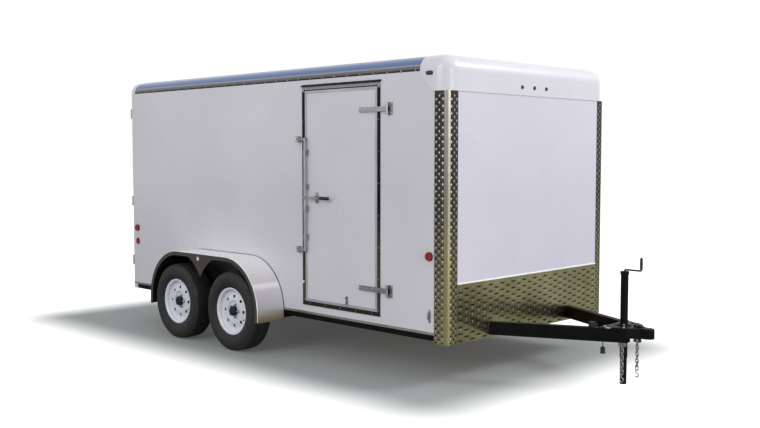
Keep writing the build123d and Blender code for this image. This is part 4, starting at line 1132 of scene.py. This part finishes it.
def lamp_ring(shape, low, high):
    """Bezel round a lamp, along its round or oval outline."""
    middle = (low + high) / 2
    size = (high - low) / 2
    out = min((0, 1), key=lambda axis: size[axis])
    across = 1 - out
    face = Vector((0, 0, 0))
    face[out] = 1 if middle[out] > 0 else -1
    reach = size[across] - size[2]
    depth = 2 * size[out]
    section = [(0.0, 0.0), (bezel_width, 0.0), (bezel_width, depth * 0.3)]
    section += [(bezel_width * 0.5, depth * 0.5), (0.0, depth * 0.5)]
    loops = []
    for grow, rise in section:
        loop = []
        for step in range(40):
            angle = 2 * pi * (step + 0.5) / 40
            point = middle + face * (rise - size[out])
            point[across] += (size[2] + grow) * cos(angle) + (reach if cos(angle) > 0 else -reach)
            point[2] += (size[2] + grow) * sin(angle)
            loop.append(shape.verts.new(point))
        loops.append(loop)
    for first, second in zip(loops, loops[1:] + loops[:1]):
        bridge(shape, first, second)


for group in ("side_lamps", "cap_lamps", "tail_lamps"):
    bezels = bmesh.new()
    for low, high in solids_of(group):
        lamp_ring(bezels, low, high)
    set_piece(f"{group}_bezels", bezels, bezel_black, "trailer")

# Safety chains: a steel tab under each tongue tube, round welded links and an S hook at the
# lower end, all zinc plated. They hang under their own weight.
chain_ahead = 0.892
chain_x = nose + chain_ahead
chain_y = tongue_foot - tongue_slope * chain_ahead
tube_under = box_of("tongue_left")[0][2]
link_pitch = 0.02664
first_link = 0.2979
link_rod = 0.004
link_straight = 0.009
link_bend = 0.01
links = 8
tab_half = 0.032
tab_drop = 0.032
tab_half_thick = 0.004
tab_eye = 0.318
tab_eye_radius = 0.008
hook_rod = 0.0042
hook_eye = (0.009, 0.009)
hook_bow = (0.0135, 0.0145)


def link_path(middle, flat_across):
    """Centre line of one chain link, upright, flat along the trailer or across it."""
    path = []
    for angle in around(28):
        rise = link_straight * (1 if sin(angle) > 0 else -1) + link_bend * sin(angle)
        wide = link_bend * cos(angle)
        shift = (0.0, wide, rise) if flat_across else (wide, 0.0, rise)
        path.append(Vector(middle) + Vector(shift))
    return path


def eye_plate(shape, middle, half_length, low, high, half_thick, eye_z, eye_radius):
    """Flat tab with an eye in it, as thick as half_thick to each side."""
    faces = []
    for out in (-half_thick, half_thick):
        outer = []
        inner = []
        for angle in around(24):
            way = Vector((cos(angle), 0, sin(angle)))
            eye = Vector((middle[0], middle[1] + out, eye_z))
            reach_z = (high - eye_z) if way.z > 0 else (eye_z - low)
            reach = min(half_length / max(abs(way.x), 1e-6), reach_z / max(abs(way.z), 1e-6))
            outer.append(shape.verts.new(eye + way * reach))
            inner.append(shape.verts.new(eye + way * eye_radius))
        bridge(shape, outer, inner)
        faces.append((outer, inner))
    for first, second in zip(*faces):
        bridge(shape, first, second)


chains = bmesh.new()
for side in (1, -1):
    strand_y = side * chain_y
    tab = (tab_half, tube_under - tab_drop, tube_under, tab_half_thick, tab_eye, tab_eye_radius)
    eye_plate(chains, (chain_x, strand_y), *tab)
    for link in range(links):
        middle = (chain_x, strand_y, first_link - link * link_pitch)
        bend_rod(chains, link_path(middle, link % 2 == 0), link_rod, closed=True)
    hook = []
    for height, (wide, tall), first, last, steps in (
        (0.0835, hook_eye, 0.25, 1.5, 14),
        (0.0545, hook_bow, 0.5, -0.85, 16),
    ):
        for step in range(steps + 1):
            angle = pi * (first + (last - first) * step / steps)
            hook.append(Vector((chain_x + wide * cos(angle), strand_y, height + tall * sin(angle))))
    bend_rod(chains, hook, hook_rod)
chain_piece = set_piece("chain_strands", chains, zinc, "trailer", 60)
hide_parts("safety_chains")

# Tongue bolts: hexagon bolts on washers through the coupler and the jack's flange, the latch's
# pivot pin, and a small clip on the right tube, all zinc plated.
up_way = Vector((0, 0, 1))
coupler_top = box_of("coupler")[1][2]
tube_top = box_of("tongue_right")[1][2]
jack_x = nose + 0.84
flange_circle = 0.042
flange_face = coupler_top + 0.006


def hex_bolt(shape, foot, out, radius=0.011, height=0.008):
    """Hexagon bolt head on a washer."""
    washer = [(0, 0), (0, radius * 1.35), (0.002, radius * 1.35), (0.002, radius * 1.1)]
    turn(shape, foot, out, washer, 20)
    top = Vector(foot) + Vector(out) * 0.002
    head = [(0, 0), (0, radius), (height * 0.8, radius), (height, radius * 0.85), (height, 0)]
    turn(shape, top, out, head, 6)


tongue_bolts = bmesh.new()
for ahead, aside in ((0.775, 0.165), (0.775, -0.165), (0.9, 0.108), (0.9, -0.108)):
    hex_bolt(tongue_bolts, (nose + ahead, aside, coupler_top), up_way)
for angle in around(3):
    foot = (jack_x - flange_circle * cos(angle), -flange_circle * sin(angle), flange_face)
    hex_bolt(tongue_bolts, foot, up_way, 0.008, 0.007)
pin_profile = [(0, 0), (0, 0.005), (0.034, 0.005), (0.034, 0)]
turn(tongue_bolts, (nose + 0.955, -0.017, coupler_top + 0.012), left_way, pin_profile, 12)
clip_low = (nose + 0.79, -0.19, tube_top + 0.0002)
soft_block(tongue_bolts, clip_low, (nose + 0.83, -0.165, tube_top + 0.0065), 0.001)
set_piece("tongue_bolts", tongue_bolts, zinc, "trailer")

# Jack weld: the bead that joins the jack's tube to its flange, and the two bolts that hold the
# gears in the tube's head, all under the frame's black paint.
jack_weld = bmesh.new()
weld_path = []
weld_radius = 0.0318
for angle in around(48):
    place = (jack_x + weld_radius * cos(angle), weld_radius * sin(angle), coupler_top + 0.0075)
    weld_path.append(place)
bend_rod(jack_weld, weld_path, 0.0035, closed=True)
for side in (1, -1):
    hex_bolt(jack_weld, (jack_x, side * 0.0283, 0.82), (0, side, 0), 0.006, 0.005)
set_piece("jack_weld", jack_weld, black_paint, "trailer")

# Breakaway switch and crank grip: black plastic mouldings, one on the right tongue tube with
# its pull pin ahead, the other a sleeve on the jack's crank.
breakaway = bmesh.new()
switch_low = (nose + 0.675, -0.232, tube_top + 0.0002)
soft_block(breakaway, switch_low, (nose + 0.725, -0.2, tube_top + 0.044), 0.006)
plunger_profile = [(0, 0), (0, 0.009), (0.012, 0.009), (0.014, 0.006), (0.018, 0.006), (0.018, 0)]
turn(breakaway, (nose + 0.725, -0.216, tube_top + 0.022), ahead_way, plunger_profile, 16)
set_piece("breakaway_switch", breakaway, black_grip, "trailer")
crank_grip = bmesh.new()
crank_profile = [(0, 0), (0, 0.0085), (0.003, 0.0105), (0.04, 0.0112)]
crank_profile += [(0.08, 0.0105), (0.0835, 0.0085), (0.0835, 0)]
turn(crank_grip, (nose + 0.976, 0, 0.876), up_way, crank_profile, 18)
set_piece("crank_grip", crank_grip, black_grip, "trailer")

# Lead: a short black rubber cable that comes out under the right tongue tube and ends in a
# round moulded plug with finger ribs. The plug sits at the cable's lower end.
lead_ahead = 0.765
lead_x = nose + lead_ahead
lead_y = -(tongue_foot - tongue_slope * lead_ahead)
lead_top = 0.338
lead_bottom = 0.298
lead_diameter = 0.0065
cable_jacket = rubber_finish("cable_jacket", (0.012, 0.012, 0.013), (0.03, 0.03, 0.031))
route = [(lead_x, lead_y, height) for height in (lead_top, 0.325, 0.311, lead_bottom)]
lead_line = bpy.data.curves.new("lead_cable", "CURVE")
lead_line.dimensions = "3D"
lead_line.bevel_depth = lead_diameter / 2
lead_line.bevel_resolution = 4
run = lead_line.splines.new("NURBS")
run.points.add(len(route) - 1)
for point, place in zip(run.points, route):
    point.co = (*place, 1.0)
run.order_u = 3
run.use_endpoint_u = True
lead_line.materials.append(cable_jacket)
lead_cable = bpy.data.objects.new("lead_cable", lead_line)
bpy.context.collection.objects.link(lead_cable)
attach(lead_cable, "trailer")
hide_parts("trailer_lead")

plug_moulding = rubber_finish("plug_moulding", (0.014, 0.014, 0.015), (0.035, 0.035, 0.036))
plug = bmesh.new()
plug_profile = [(0.0, 0.0), (0.0, 0.006), (0.003, 0.0125), (0.008, 0.0165)]
for rib in range(4):
    start = 0.012 + rib * 0.006
    plug_profile += [(start, 0.0165), (start + 0.001, 0.0187)]
    plug_profile += [(start + 0.003, 0.0187), (start + 0.004, 0.0165)]
plug_profile += [(0.040, 0.017), (0.042, 0.0188), (0.051, 0.0188), (0.052, 0.0178)]
plug_profile += [(0.052, 0.014), (0.045, 0.013), (0.045, 0.0)]
turn(plug, (lead_x, lead_y, lead_bottom), (0, 0, -1), plug_profile, 40)
plug_body = set_piece("lead_plug_body", plug, plug_moulding, "trailer")
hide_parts("lead_plug")

# Studio: a dark floor with a painted shadow: outside a box round the trailer it glows white to
# the camera, so the box reads as shadow on top of the lamps' own shadows. Soft light comes from
# the left, the right and ahead, and the sky is white.
floor_reach = 40
floor_corners = [(-floor_reach, -floor_reach, 0), (floor_reach, -floor_reach, 0)]
floor_corners += [(floor_reach, floor_reach, 0), (-floor_reach, floor_reach, 0)]
floor_mesh = bpy.data.meshes.new("studio_floor")
floor_mesh.from_pydata(floor_corners, [], [(0, 1, 2, 3)])
studio_floor = bpy.data.objects.new("studio_floor", floor_mesh)
bpy.context.collection.objects.link(studio_floor)
studio_paint = start_finish("studio_paint", (0.3, 0.315, 0.31), 0.9)
floor_mesh.materials.append(studio_paint)
tree = studio_paint.node_tree
ray = tree.nodes.new("ShaderNodeLightPath")
looked_at = number_step(tree, "MAXIMUM", ray.outputs["Is Camera Ray"], ray.outputs["Is Transmission Ray"])
fade = tree.nodes.new("ShaderNodeMapRange")
fade.interpolation_type = "SMOOTHSTEP"
fade.inputs["From Min"].default_value = 0.0
fade.inputs["From Max"].default_value = 0.8
fade.inputs["To Min"].default_value = 0.055
fade.inputs["To Max"].default_value = 1.0
# Painted shadow: the box round the trailer where the floor's glow fades to almost nothing.
shadow_middle = (-0.75, -0.1, 0.0)
shadow_half = (2.45, 1.3, 0.0)
from_shadow = beyond_box(tree, shadow_middle, shadow_half)
tree.links.new(from_shadow, fade.inputs["Value"])
shader = tree.nodes["Principled BSDF"]
shader.inputs["Emission Color"].default_value = (1.0, 1.0, 1.0, 1.0)
painted_floor_glow = number_step(tree, "MULTIPLY", looked_at, fade.outputs[0])
tree.links.new(painted_floor_glow, shader.inputs["Emission Strength"])

world = bpy.data.worlds.new("studio_light")
bpy.context.scene.world = world
world.use_nodes = True
tree = world.node_tree
sky = tree.nodes["Background"]
sky.inputs["Color"].default_value = (0.94, 0.96, 1.0, 1.0)
sky.inputs["Strength"].default_value = 0.62
plain = tree.nodes.new("ShaderNodeBackground")
plain.inputs["Color"].default_value = (1.0, 1.0, 1.0, 1.0)
plain.inputs["Strength"].default_value = 1.0
ray = tree.nodes.new("ShaderNodeLightPath")
mirrored = number_step(tree, "MAXIMUM", ray.outputs["Is Glossy Ray"], ray.outputs["Is Transmission Ray"])
seen = number_step(tree, "MAXIMUM", ray.outputs["Is Camera Ray"], mirrored)
cover(tree, seen, sky, plain, "World Output")

for name, place, aim, size, watts in (
    ("key_light", (9.2, 8.2, 10.2), (0.0, 0.0, 0.5), 5.0, 1050.0),
    ("fill_light", (1.0, -12.0, 6.0), (0.0, 0.0, 1.0), 6.0, 400.0),
    ("front_light", (13.0, -3.0, 2.4), (0.0, 0.0, 1.2), 5.0, 300.0),
):
    lamp = bpy.data.lights.new(name, "AREA")
    lamp.size = size
    lamp.energy = watts
    lamp_object = bpy.data.objects.new(name, lamp)
    lamp_object.location = place
    heading = Vector(aim) - Vector(place)
    lamp_object.rotation_euler = heading.to_track_quat("-Z", "Y").to_euler()
    bpy.context.collection.objects.link(lamp_object)
